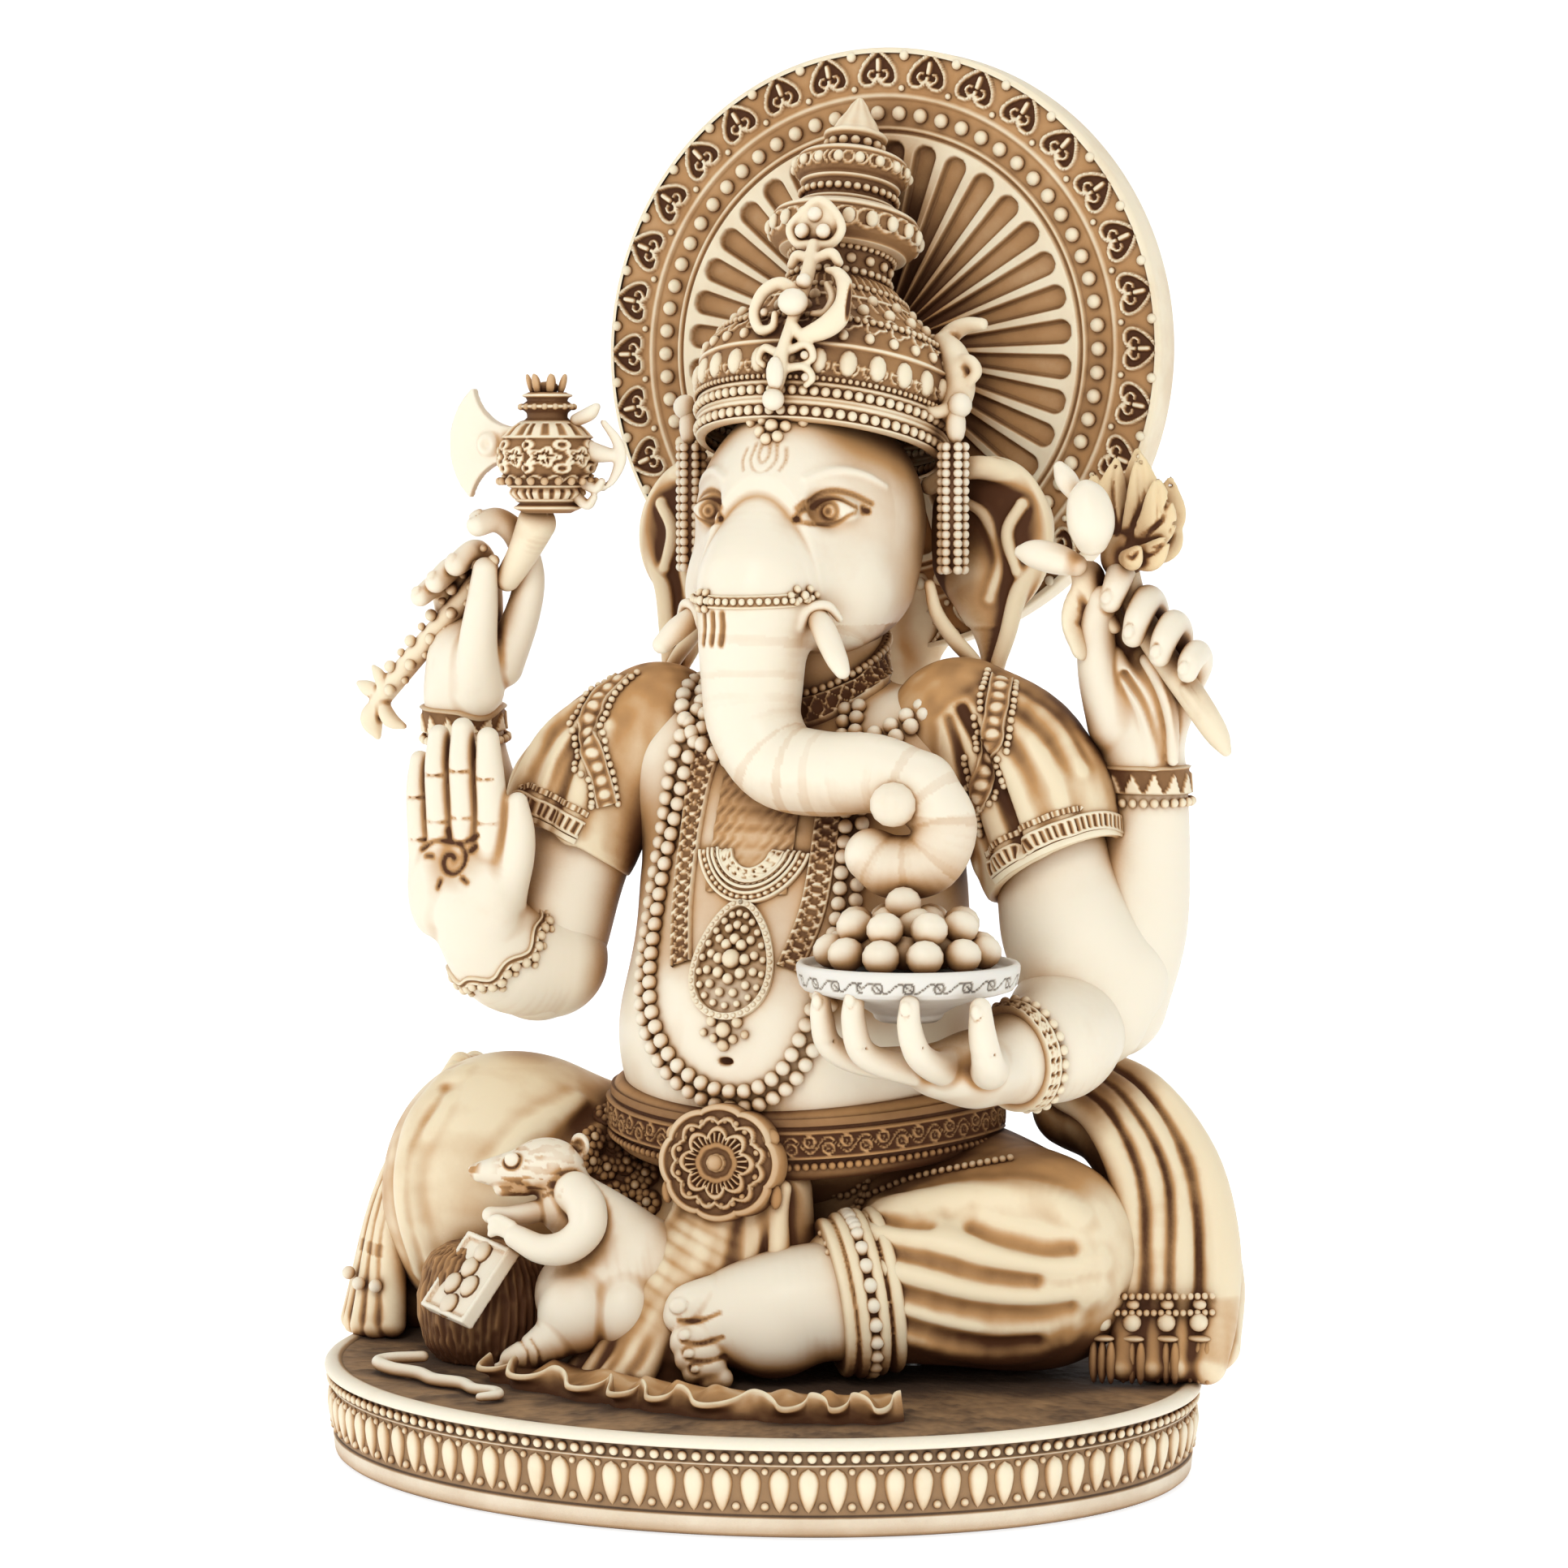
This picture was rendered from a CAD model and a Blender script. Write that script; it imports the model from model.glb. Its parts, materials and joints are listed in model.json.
"""Looks of the seated elephant-headed idol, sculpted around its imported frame.

Shapes are worked in millimetres as signed distances on a grid ("clay"), skinned to meshes, and written in metres.
Each vertex carries "wash", from 0 on a clean ivory high point to 1 in a crevice full of brown antiquing.
"""

import json
import math

import bpy
import numpy as np
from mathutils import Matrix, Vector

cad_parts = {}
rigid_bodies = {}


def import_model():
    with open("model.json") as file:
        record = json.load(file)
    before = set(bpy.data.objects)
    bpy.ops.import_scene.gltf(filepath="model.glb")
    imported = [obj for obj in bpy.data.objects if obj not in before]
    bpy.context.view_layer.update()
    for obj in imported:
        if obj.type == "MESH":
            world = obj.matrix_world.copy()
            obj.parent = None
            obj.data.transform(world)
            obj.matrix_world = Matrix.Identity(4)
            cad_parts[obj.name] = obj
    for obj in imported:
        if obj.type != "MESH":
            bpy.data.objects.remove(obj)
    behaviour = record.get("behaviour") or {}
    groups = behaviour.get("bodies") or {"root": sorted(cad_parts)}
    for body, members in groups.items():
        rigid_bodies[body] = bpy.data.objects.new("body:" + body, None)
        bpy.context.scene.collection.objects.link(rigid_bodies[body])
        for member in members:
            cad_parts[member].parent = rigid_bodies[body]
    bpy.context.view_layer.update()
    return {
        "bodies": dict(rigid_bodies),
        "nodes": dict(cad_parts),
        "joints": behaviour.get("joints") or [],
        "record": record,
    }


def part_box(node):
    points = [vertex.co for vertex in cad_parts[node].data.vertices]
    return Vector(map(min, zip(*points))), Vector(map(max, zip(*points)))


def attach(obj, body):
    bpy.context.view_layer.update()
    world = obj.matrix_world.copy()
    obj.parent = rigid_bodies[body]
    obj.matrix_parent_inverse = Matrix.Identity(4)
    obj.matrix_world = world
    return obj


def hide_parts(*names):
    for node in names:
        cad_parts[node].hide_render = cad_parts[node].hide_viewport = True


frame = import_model()

MM = 0.001
FAR = 99.0  # distance in clay that nothing has touched yet
STRIDE = 0.9  # share of the measured distance that a point moves in one round, so that it doesn't overshoot
BACKWARD = np.array([0.0, 1.0, 0.0])  # from the figure's face to its back


# ---- places from the frame ---------------------------------------------------------------------------------


def corners(node):
    """Lowest and highest corner of a CAD node, in millimetres."""
    low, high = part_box(node)
    return np.array(low) / MM, np.array(high) / MM


def middle(node):
    """Centre of a CAD node's box, in millimetres."""
    low, high = corners(node)
    return (low + high) / 2


BASE_TOP = corners("base_plinth")[1][2]
HALO = middle("halo")
HALO_RADIUS = (corners("halo")[1][0] - corners("halo")[0][0]) / 2
HALO_FRONT = corners("halo")[0][1]
PLATE = middle("sweet_plate")
PLATE[2] = corners("sweet_plate")[1][2] - 1.5
POT = middle("axe_pot")
VIEWER = np.array([428.0, -893.0, 209.0])


# ---- small mathematics -------------------------------------------------------------------------------------


def unit(vector):
    """The vector at length one."""
    vector = np.asarray(vector, float)
    return vector / np.linalg.norm(vector)


def smooth_step(low, high, value):
    """0 below low, 1 above high, smooth between."""
    t = np.clip((value - low) / (high - low), 0, 1)
    return t * t * (3 - 2 * t)


def soft_min(a, b, blend):
    """Smooth union of two distances."""
    if blend <= 0:
        return np.minimum(a, b)
    h = np.clip(0.5 + 0.5 * (a - b) / blend, 0, 1)
    return a * (1 - h) + b * h - blend * h * (1 - h)


def curve(points, per_span=8):
    """A Catmull-Rom curve through points of any dimension, sampled per_span times a span."""
    points = np.asarray(points, float)
    ends = np.vstack([2 * points[0] - points[1], points, 2 * points[-1] - points[-2]])
    t = np.linspace(0, 1, per_span, endpoint=False)[:, None]
    spans = []
    for a, b, c, d in zip(ends, ends[1:], ends[2:], ends[3:]):
        spans.append(
            0.5 * (2 * b + (c - a) * t + (2 * a - 5 * b + 4 * c - d) * t**2 + (3 * b - a - 3 * c + d) * t**3)
        )
    return np.vstack(spans + [points[-1:]])


def even(points, spacing):
    """Points every spacing along a polyline, ends included."""
    points = np.asarray(points, float)
    lengths = np.concatenate([[0], np.cumsum(np.linalg.norm(np.diff(points[:, :3], axis=0), axis=1))])
    count = max(2, int(round(lengths[-1] / spacing)) + 1)
    wanted = np.linspace(0, lengths[-1], count)
    return np.stack([np.interp(wanted, lengths, points[:, i]) for i in range(points.shape[1])], axis=1)


def turn(axis, degrees):
    """Rotation matrix about an axis."""
    x, y, z = unit(axis)
    c, s = math.cos(math.radians(degrees)), math.sin(math.radians(degrees))
    return np.array(
        [
            [c + x * x * (1 - c), x * y * (1 - c) - z * s, x * z * (1 - c) + y * s],
            [y * x * (1 - c) + z * s, c + y * y * (1 - c), y * z * (1 - c) - x * s],
            [z * x * (1 - c) - y * s, z * y * (1 - c) + x * s, c + z * z * (1 - c)],
        ]
    )


def near_lines(points, lines, width, amount=1.0):
    """A value that is amount on any of the lines and dies away over width."""
    total = np.zeros(len(points))
    for line in lines:
        near = np.all((points > line.min(0) - 3 * width) & (points < line.max(0) + 3 * width), axis=1)
        if near.any():
            away = np.linalg.norm(points[near][:, None] - line[None], axis=2).min(1)
            total[near] = np.maximum(total[near], amount * np.exp(-((away / width) ** 2)))
    return total


def lattice(seed):
    """A seeded block of random numbers for noise."""
    return np.random.default_rng(seed).random((32, 32, 32)).astype(np.float32)


def noise(points, scale, seed=1):
    """Smooth noise from 0 to 1 at points, with features about scale millimetres across."""
    block = lattice(seed)
    size = block.shape[0]
    q = points / scale
    cell = np.floor(q).astype(int)
    f = q - cell
    f = f * f * (3 - 2 * f)
    total = 0
    for dx in (0, 1):
        for dy in (0, 1):
            for dz in (0, 1):
                weight = (
                    (f[..., 0] if dx else 1 - f[..., 0])
                    * (f[..., 1] if dy else 1 - f[..., 1])
                    * (f[..., 2] if dz else 1 - f[..., 2])
                )
                corner = block[(cell[..., 0] + dx) % size, (cell[..., 1] + dy) % size, (cell[..., 2] + dz) % size]
                total = total + weight * corner
    return total


# ---- clay --------------------------------------------------------------------------------------------------


class Clay:
    """A block of signed distances on a regular grid, in millimetres."""

    def __init__(self, low, high, step):
        self.step = step
        self.low = np.array(low, float)
        counts = np.ceil((np.array(high) - self.low) / step).astype(int) + 1
        self.axes = [(self.low[i] + step * np.arange(counts[i])).astype(np.float32) for i in range(3)]
        self.d = np.full(counts, FAR, np.float32)

    def window(self, low, high):
        """Slices and coordinates of the samples between two corners."""
        cuts, coords = [], []
        for i, axis in enumerate(self.axes):
            cut = slice(np.searchsorted(axis, low[i]), np.searchsorted(axis, high[i]))
            shape = [1, 1, 1]
            shape[i] = -1
            cuts.append(cut)
            coords.append(axis[cut].reshape(shape))
        return tuple(cuts), coords

    def merge(self, cuts, distance, blend, cut=False):
        """Joins a distance into the block, or cuts it out."""
        here = self.d[cuts]
        if cut:
            self.d[cuts] = -soft_min(-here, distance, blend)
        else:
            self.d[cuts] = soft_min(here, distance, blend)

    def egg(self, centre, radii, blend=2.0, axes=None, cut=False):
        """An ellipsoid; axes is a rotation matrix whose columns are its own axes."""
        centre, radii = np.asarray(centre, float), np.asarray(radii, float)
        reach = max(radii) + blend + 3 * self.step
        reach = np.full(3, reach) if axes is not None else radii + blend + 3 * self.step
        cuts, (x, y, z) = self.window(centre - reach, centre + reach)
        p = [x - centre[0], y - centre[1], z - centre[2]]
        if axes is not None:
            p = [sum(float(axes[j, i]) * p[j] for j in range(3)) for i in range(3)]
        k0 = np.sqrt(sum((c / float(r)) ** 2 for c, r in zip(p, radii)))
        k1 = np.sqrt(sum((c / float(r) ** 2) ** 2 for c, r in zip(p, radii)))
        self.merge(cuts, (k0 * (k0 - 1) / np.maximum(k1, 1e-6)).astype(np.float32), blend, cut)

    def limb(self, points, blend=2.0, cut=False, flat=None, squeeze=1.0, smooth=6):
        """A rounded tube through points (x, y, z, radius); flat is a direction along which it is thinner by squeeze."""
        path = curve(points, smooth) if smooth else np.asarray(points, float)
        widest = path[:, 3].max()
        reach = widest + blend + 3 * self.step
        cuts, _ = self.window(path[:, :3].min(0) - reach, path[:, :3].max(0) + reach)
        tube = np.full(self.d[cuts].shape, FAR, np.float32)
        first = [cut_.start for cut_ in cuts]
        flat = None if flat is None else unit(flat)
        for a, b in zip(path, path[1:]):
            low = np.minimum(a[:3], b[:3]) - reach
            high = np.maximum(a[:3], b[:3]) + reach
            small, (x, y, z) = self.window(low, high)
            run = b[:3] - a[:3]
            length = float(run @ run) + 1e-9
            p = [x - a[0], y - a[1], z - a[2]]
            h = np.clip((p[0] * run[0] + p[1] * run[1] + p[2] * run[2]) / length, 0, 1)
            q = [p[i] - h * run[i] for i in range(3)]
            square = q[0] ** 2 + q[1] ** 2 + q[2] ** 2
            if flat is not None:
                across = q[0] * flat[0] + q[1] * flat[1] + q[2] * flat[2]
                square = square + (1 / squeeze**2 - 1) * across**2
            distance = np.sqrt(square) - (a[3] + h * (b[3] - a[3]))
            if flat is not None:
                distance = distance * (0.5 + 0.5 * squeeze)
            spot = tuple(slice(s.start - f, s.stop - f) for s, f in zip(small, first))
            tube[spot] = np.minimum(tube[spot], distance)
        self.merge(cuts, tube, blend, cut)

    def slab(self, normal, offset, blend=0.0):
        """Removes all clay beyond the plane normal . p = offset."""
        x, y, z = [axis.reshape(shape) for axis, shape in zip(self.axes, [(-1, 1, 1), (1, -1, 1), (1, 1, -1)])]
        plane = (x * normal[0] + y * normal[1] + z * normal[2] - offset).astype(np.float32)
        self.d = -soft_min(-self.d, -plane, blend)

    def grid(self):
        """Coordinates of every sample, ready to broadcast."""
        return [axis.reshape(shape) for axis, shape in zip(self.axes, [(-1, 1, 1), (1, -1, 1), (1, 1, -1)])]

    def sample(self, points):
        """Distance at points, read between the grid's samples."""
        q = (np.asarray(points, float) - self.low) / self.step
        limit = np.array(self.d.shape) - 2
        cell = np.clip(np.floor(q).astype(int), 0, limit)
        f = np.clip(q - cell, 0, 1)
        total = 0
        for dx in (0, 1):
            for dy in (0, 1):
                for dz in (0, 1):
                    weight = (
                        (f[:, 0] if dx else 1 - f[:, 0])
                        * (f[:, 1] if dy else 1 - f[:, 1])
                        * (f[:, 2] if dz else 1 - f[:, 2])
                    )
                    total = total + weight * self.d[cell[:, 0] + dx, cell[:, 1] + dy, cell[:, 2] + dz]
        return total

    def slope(self, points):
        """Unit outward direction at points."""
        h = self.step
        steps = np.eye(3) * h
        g = np.stack([self.sample(points + s) - self.sample(points - s) for s in steps], axis=1)
        return g / np.maximum(np.linalg.norm(g, axis=1, keepdims=True), 1e-6)

    def project(self, points, lift=0.0, rounds=12):
        """Points moved on to the surface, then lifted off it."""
        points = np.array(points, float)
        for _ in range(rounds):
            d = np.clip(self.sample(points), -4, 4)
            points = points - STRIDE * d[:, None] * self.slope(points)
        return points + lift * self.slope(points)

    def drop(self, points):
        """Points slid straight back until they meet the surface."""
        points = np.array(points, float)
        for _ in range(48):
            points = points + STRIDE * np.clip(self.sample(points), -3, 3)[:, None] * BACKWARD
        return points

    def seen(self, points):
        """Points moved along the lines from the viewer until they meet the surface."""
        points = np.array(points, float)
        away = points - VIEWER
        away = away / np.linalg.norm(away, axis=1, keepdims=True)
        start_back = 45.0
        points = points - start_back * away
        for _ in range(60):
            points = points + STRIDE * np.clip(self.sample(points), -3, 3)[:, None] * away
        return points

    def groove(self, line, radius=0.6):
        """Cuts a thin line along points that lie on the surface."""
        rows = np.column_stack([line, np.full(len(line), radius)])
        self.limb(rows, 0.4, cut=True, smooth=0)

    def fold(self, spots, radius, sink=0.4, blend=3.0, cut=False):
        """A ridge or a crease laid on the surface through spots, thin at both ends; sink is how deep its core lies."""
        line = self.seen(even(curve(spots), 2.0))
        line = line - sink * radius * self.slope(line)
        taper = np.sin(np.linspace(0.12, 0.88, len(line)) * math.pi) ** 0.6
        self.limb(np.column_stack([line, radius * taper]), blend, cut=cut, smooth=0)

    def blurred(self, radius):
        """The distances averaged over a cube of about radius each way."""
        n = max(1, int(round(radius / self.step)))
        field = np.clip(self.d, -2 * radius, 2 * radius).astype(np.float32)
        for axis in range(3):
            pad = [(0, 0)] * 3
            pad[axis] = (n + 1, n)
            total = np.cumsum(np.pad(field, pad, mode="edge"), axis=axis, dtype=np.float32)
            top = [slice(None)] * 3
            bottom = [slice(None)] * 3
            top[axis] = slice(2 * n + 1, None)
            bottom[axis] = slice(None, -(2 * n + 1))
            field = (total[tuple(top)] - total[tuple(bottom)]) / (2 * n + 1)
        return field

    def skin(self):
        """Vertices, quads, normals and hollowness (positive in creases) of the surface."""
        for axis in range(3):
            edge = [slice(None)] * 3
            for end in (0, -1):
                edge[axis] = end
                self.d[tuple(edge)] = np.maximum(self.d[tuple(edge)], 0.1 * self.step)
        inside = self.d < 0
        count = np.zeros(np.array(inside.shape) - 1, np.int8)
        corners_of = [(i, j, k) for i in (0, 1) for j in (0, 1) for k in (0, 1)]
        sx, sy, sz = count.shape
        for i, j, k in corners_of:
            count += inside[i : i + sx, j : j + sy, k : k + sz]
        mixed = (count > 0) & (count < 8)
        index = np.full(mixed.shape, -1, np.int64)
        cells = np.argwhere(mixed)
        index[mixed] = np.arange(len(cells))
        total = np.zeros((len(cells), 3))
        hits = np.zeros(len(cells))
        for i, j, k in corners_of:
            for axis in range(3):
                if (i, j, k)[axis]:
                    continue
                a = cells + (i, j, k)
                b = a.copy()
                b[:, axis] += 1
                va = self.d[a[:, 0], a[:, 1], a[:, 2]]
                vb = self.d[b[:, 0], b[:, 1], b[:, 2]]
                cross = (va < 0) != (vb < 0)
                t = np.where(cross, va / np.where(cross, va - vb, 1), 0)
                point = np.array([i, j, k], float) + np.eye(3)[axis] * t[:, None]
                total[cross] += point[cross]
                hits[cross] += 1
        points = (cells + total / hits[:, None]) * self.step + self.low
        quads = []
        for axis in range(3):
            u, v = (axis + 1) % 3, (axis + 2) % 3
            a = [slice(None)] * 3
            b = [slice(None)] * 3
            a[axis], b[axis] = slice(None, -1), slice(1, None)
            for other in (u, v):
                a[other] = slice(1, -1)
                b[other] = slice(1, -1)
            start, end = inside[tuple(a)], inside[tuple(b)]
            edges = np.argwhere(start != end)
            if not len(edges):
                continue
            flip = start[tuple(edges.T)]
            edges[:, u] += 1
            edges[:, v] += 1
            around = []
            for du, dv in ((-1, -1), (0, -1), (0, 0), (-1, 0)):
                cell = edges.copy()
                cell[:, u] += du
                cell[:, v] += dv
                around.append(index[tuple(cell.T)])
            ring = np.stack(around, axis=1)
            ring[~flip] = ring[~flip][:, ::-1]
            quads.append(ring)
        points = self.project(points, rounds=2)
        normals = self.slope(points)
        fine, broad = self.blur_at(points, 2.2 * self.step), self.blur_at(points, 3.0)
        return points, np.vstack(quads), normals, fine, broad

    def blur_at(self, points, radius):
        """How hollow the surface is at points: positive in a crease of about radius, negative on a ridge."""
        keep = self.d
        self.d = self.blurred(radius)
        value = -self.sample(points) / radius
        self.d = keep
        return value


# ---- meshes ------------------------------------------------------------------------------------------------


def ball(rings, sides):
    """Points, triangles and quads of a unit sphere."""
    tilt = np.linspace(0, math.pi, rings + 1)[1:-1]
    spin = np.linspace(0, 2 * math.pi, sides, endpoint=False)
    body = np.stack(
        [
            np.outer(np.sin(tilt), np.cos(spin)), np.outer(np.sin(tilt), np.sin(spin)),
            np.outer(np.cos(tilt), np.ones(sides))
        ],
        axis=2,
    ).reshape(-1, 3)
    points = np.vstack([[0, 0, 1], body, [0, 0, -1]])
    here = np.arange(sides)
    after = (here + 1) % sides
    last = len(points) - 1
    tips = np.vstack(
        [
            np.column_stack([np.zeros(sides, int), 1 + here, 1 + after]),
            np.column_stack([np.full(sides, last), last - sides + after, last - sides + here]),
        ]
    )
    rows = [
        np.column_stack(
            [1 + r * sides + here, 1 + (r + 1) * sides + here, 1 + (r + 1) * sides + after, 1 + r * sides + after]
        )
        for r in range(rings - 2)
    ]
    return points, tips, np.vstack(rows)


BALL = ball(7, 12)


class Kit:
    """Vertices, faces and wash of several bits that make up one piece."""

    def __init__(self):
        self.points, self.faces, self.wash, self.count = [], [], [], 0

    def put(self, points, face_sets, wash):
        """Adds a bit: points in millimetres, sets of faces, and wash as one value or one a vertex."""
        points = np.asarray(points, float)
        self.points.append(points)
        for faces in face_sets:
            self.faces.append(np.asarray(faces) + self.count)
        self.wash.append(np.broadcast_to(np.asarray(wash, float), (len(points),)))
        self.count += len(points)

    def beads(self, centres, radius, wash=0.05, shape=None):
        """A ball at each centre; shape is one 3x3 matrix, or one a bead, that stretches and turns the unit ball."""
        centres = np.atleast_2d(np.asarray(centres, float))
        count = len(centres)
        points, tips, quads = BALL
        size = np.broadcast_to(np.asarray(radius, float), (count,))
        if shape is None:
            cloud = points[None] * size[:, None, None]
        else:
            shape = np.broadcast_to(shape, (count, 3, 3))
            cloud = np.einsum("nij,pj->npi", shape, points) * size[:, None, None]
        cloud = cloud + centres[:, None]
        shift = (np.arange(count) * len(points))[:, None, None]
        faces = [(tips[None] + shift).reshape(-1, 3), (quads[None] + shift).reshape(-1, 4)]
        self.put(cloud.reshape(-1, 3), faces, wash)

    def grid(self, points, wash, around=False):
        """A sheet of rows x columns points; around closes the rows' far edge on to the near one."""
        rows, columns = points.shape[:2]
        index = np.arange(rows * columns).reshape(rows, columns)
        if around:
            index = np.vstack([index, index[:1]])
        quads = np.stack([index[:-1, :-1], index[1:, :-1], index[1:, 1:], index[:-1, 1:]], axis=2).reshape(-1, 4)
        self.put(points.reshape(-1, 3), [quads], np.broadcast_to(wash, (rows, columns)).ravel())

    def band(self, clay, path, width, relief, lift=0.9, across=13, out=0.0, dark=0.85):
        """A raised strip laid on clay along path; relief(s, y, half) is 0 in the ground and 1 on the ornament."""
        line = clay.project(even(curve(path), 0.45), rounds=8)
        along = np.gradient(line, axis=0)
        side = np.cross(along, clay.slope(line))
        side = side / np.maximum(np.linalg.norm(side, axis=1, keepdims=True), 1e-6)
        y = np.linspace(-width / 2, width / 2, across)
        flat = clay.project((line[:, None] + side[:, None] * y[None, :, None]).reshape(-1, 3), rounds=6)
        s = np.concatenate([[0], np.cumsum(np.linalg.norm(np.diff(line, axis=0), axis=1))])
        height = np.clip(relief(*np.broadcast_arrays(s[:, None], y[None]), width / 2), 0, 1)
        wash = dark * (1 - height) ** 1.2
        rise = out + lift * (0.35 + 0.65 * height)
        rise[:, [0, -1]] = -0.5
        points = flat.reshape(len(s), across, 3) + clay.slope(flat).reshape(len(s), across, 3) * rise[..., None]
        self.grid(points, wash)

    def turned(self, origin, up, front, radii, heights, relief, lift=0.8, sides=360, dark=0.85):
        """A surface turned about up; relief(a, t) is 0-1 at arc length a and height t."""
        up, front = unit(up), unit(front)
        side = np.cross(up, front)
        spin = np.linspace(0, 2 * math.pi, sides, endpoint=False)
        mean = float(np.mean(radii))
        height = np.clip(relief(*np.broadcast_arrays(spin[:, None] * mean, np.asarray(heights)[None])), 0, 1)
        reach = np.asarray(radii)[None] + lift * height
        points = (
            np.asarray(origin)[None, None]
            + reach[..., None] * (np.cos(spin)[:, None, None] * front + np.sin(spin)[:, None, None] * side)
            + np.asarray(heights)[None, :, None] * up
        )
        self.grid(points, dark * (1 - height) ** 1.2, around=True)


# ---- ornament patterns: 0 in the ground, 1 on the ornament --------------------------------------------------


def ridge(distance, half_width):
    """1 on a line, 0 beyond its half width, with a soft shoulder."""
    return 1 - smooth_step(half_width * 0.55, half_width * 1.35, np.abs(distance))


def plain(level):
    """An even strip, raised by level."""
    return lambda s, y, half: np.full(s.shape, level)


def rails(y, half, inset=0.45, half_width=0.42):
    """A plain rail along both edges of a band."""
    return ridge(half - inset - np.abs(y), half_width)


def bars(pitch):
    """Upright bars between rails."""
    return lambda s, y, half: np.maximum(
        rails(y, half), ridge((s / pitch) % 1 - 0.5, 0.3) * (np.abs(y) < half - 1.0)
    )


def studs(pitch):
    """A row of small domes between rails."""

    def relief(s, y, half):
        room = 2 * half - 1.6
        v = (y + half - 0.8) % room - room / 2
        u = (s % pitch) - pitch / 2
        dome = 1 - smooth_step(0.2, 0.5, np.hypot(u / pitch, v / room))
        return np.maximum(rails(y, half), dome * (np.abs(y) < half - 0.8))

    return relief


def vine(pitch, curl=1.0):
    """A winding stem with a ring in each bend, between rails."""

    def relief(s, y, half):
        stem = y - 0.5 * half * np.sin(2 * math.pi * s / pitch)
        total = np.maximum(rails(y, half), ridge(stem, 0.36))
        for phase, side in ((0.25, -1), (0.75, 1)):
            u = (s / pitch - phase + 0.5) % 1 - 0.5
            away = np.hypot(u * pitch, y - side * 0.22 * half)
            total = np.maximum(total, ridge(away - 0.13 * pitch * curl, 0.34))
            total = np.maximum(total, 1 - smooth_step(0.15, 0.5, away))
        return total

    return relief


def teeth(pitch):
    """Triangles that point alternately up and down, between rails."""

    def relief(s, y, half):
        u = np.abs((s / pitch) % 1 - 0.5) * 2
        level = (y / (half - 0.8) + 1) / 2
        return np.maximum(rails(y, half), u < level - 0.16)

    return relief


def knotwork(pitch):
    """Two crossing stems with beads where they part: a dense woven ground."""

    def relief(s, y, half):
        wave = 0.62 * half * np.sin(2 * math.pi * s / pitch)
        total = np.maximum(ridge(y - wave, 0.4), ridge(y + wave, 0.4))
        u = (s / pitch + 0.25) % 0.5 - 0.25
        return np.maximum(np.maximum(rails(y, half), total), 1 - smooth_step(0.2, 0.7, np.hypot(u * pitch, y)))

    return relief


def build_mesh(name, points, face_sets, wash, normals=None):
    """A Blender object from millimetre points, sets of equal-sided faces and a wash value a vertex."""
    mesh = bpy.data.meshes.new(name)
    loops = np.concatenate([faces.ravel() for faces in face_sets])
    sizes = np.concatenate([np.full(len(faces), faces.shape[1]) for faces in face_sets])
    starts = np.concatenate([[0], np.cumsum(sizes)[:-1]])
    mesh.vertices.add(len(points))
    mesh.vertices.foreach_set("co", (np.asarray(points) * MM).astype(np.float32).ravel())
    mesh.loops.add(len(loops))
    mesh.loops.foreach_set("vertex_index", loops.astype(np.int32))
    mesh.polygons.add(len(sizes))
    mesh.polygons.foreach_set("loop_start", starts.astype(np.int32))
    mesh.polygons.foreach_set("use_smooth", np.ones(len(sizes), bool))
    mesh.update(calc_edges=True)
    mesh.validate()
    layer = mesh.attributes.new("wash", "FLOAT", "POINT")
    layer.data.foreach_set("value", np.clip(wash, 0, 1).astype(np.float32))
    if normals is not None:
        mesh.normals_split_custom_set_from_vertices(normals.astype(np.float32))
    thing = bpy.data.objects.new(name, mesh)
    bpy.context.scene.collection.objects.link(thing)
    return thing


def finish_piece(thing, material, nodes=()):
    """Gives a piece its material and its place in the object."""
    thing.data.materials.append(material)
    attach(thing, "root")
    if nodes:
        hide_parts(*nodes)
    return thing


NAIL_EDGES = []  # outlines of the nails on the clay in hand; clay_piece stains and clears them


def clay_piece(name, clay, material, nodes=(), stain=0.0, gain=1.0, extra=None):
    """Skins clay into a piece. Stain is the even wash all over; extra(points) gives more wash in places."""
    points, quads, normals, fine, broad = clay.skin()
    wash = stain + gain * (
        1.5 * np.clip(fine, -0.3, 1) + 1.0 * np.clip(broad, -0.3, 1)
    ) + 0.16 * smooth_step(-0.1, 1.0, -normals[:, 2])
    if extra is not None:
        wash = wash + extra(points)
    if NAIL_EDGES:
        wash = wash + near_lines(points, NAIL_EDGES, 0.5, 0.75)
        NAIL_EDGES.clear()
    wash = np.clip(wash, 0, 1)
    return finish_piece(build_mesh(name, points, [quads], wash, normals), material, nodes)


def kit_piece(name, kit, material, nodes=()):
    by_sides = {}
    for faces in kit.faces:
        by_sides.setdefault(faces.shape[1], []).append(faces)
    sets = [np.vstack(group) for group in by_sides.values()]
    thing = build_mesh(name, np.vstack(kit.points), sets, np.concatenate(kit.wash))
    return finish_piece(thing, material, nodes)


# ---- materials ---------------------------------------------------------------------------------------------


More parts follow.
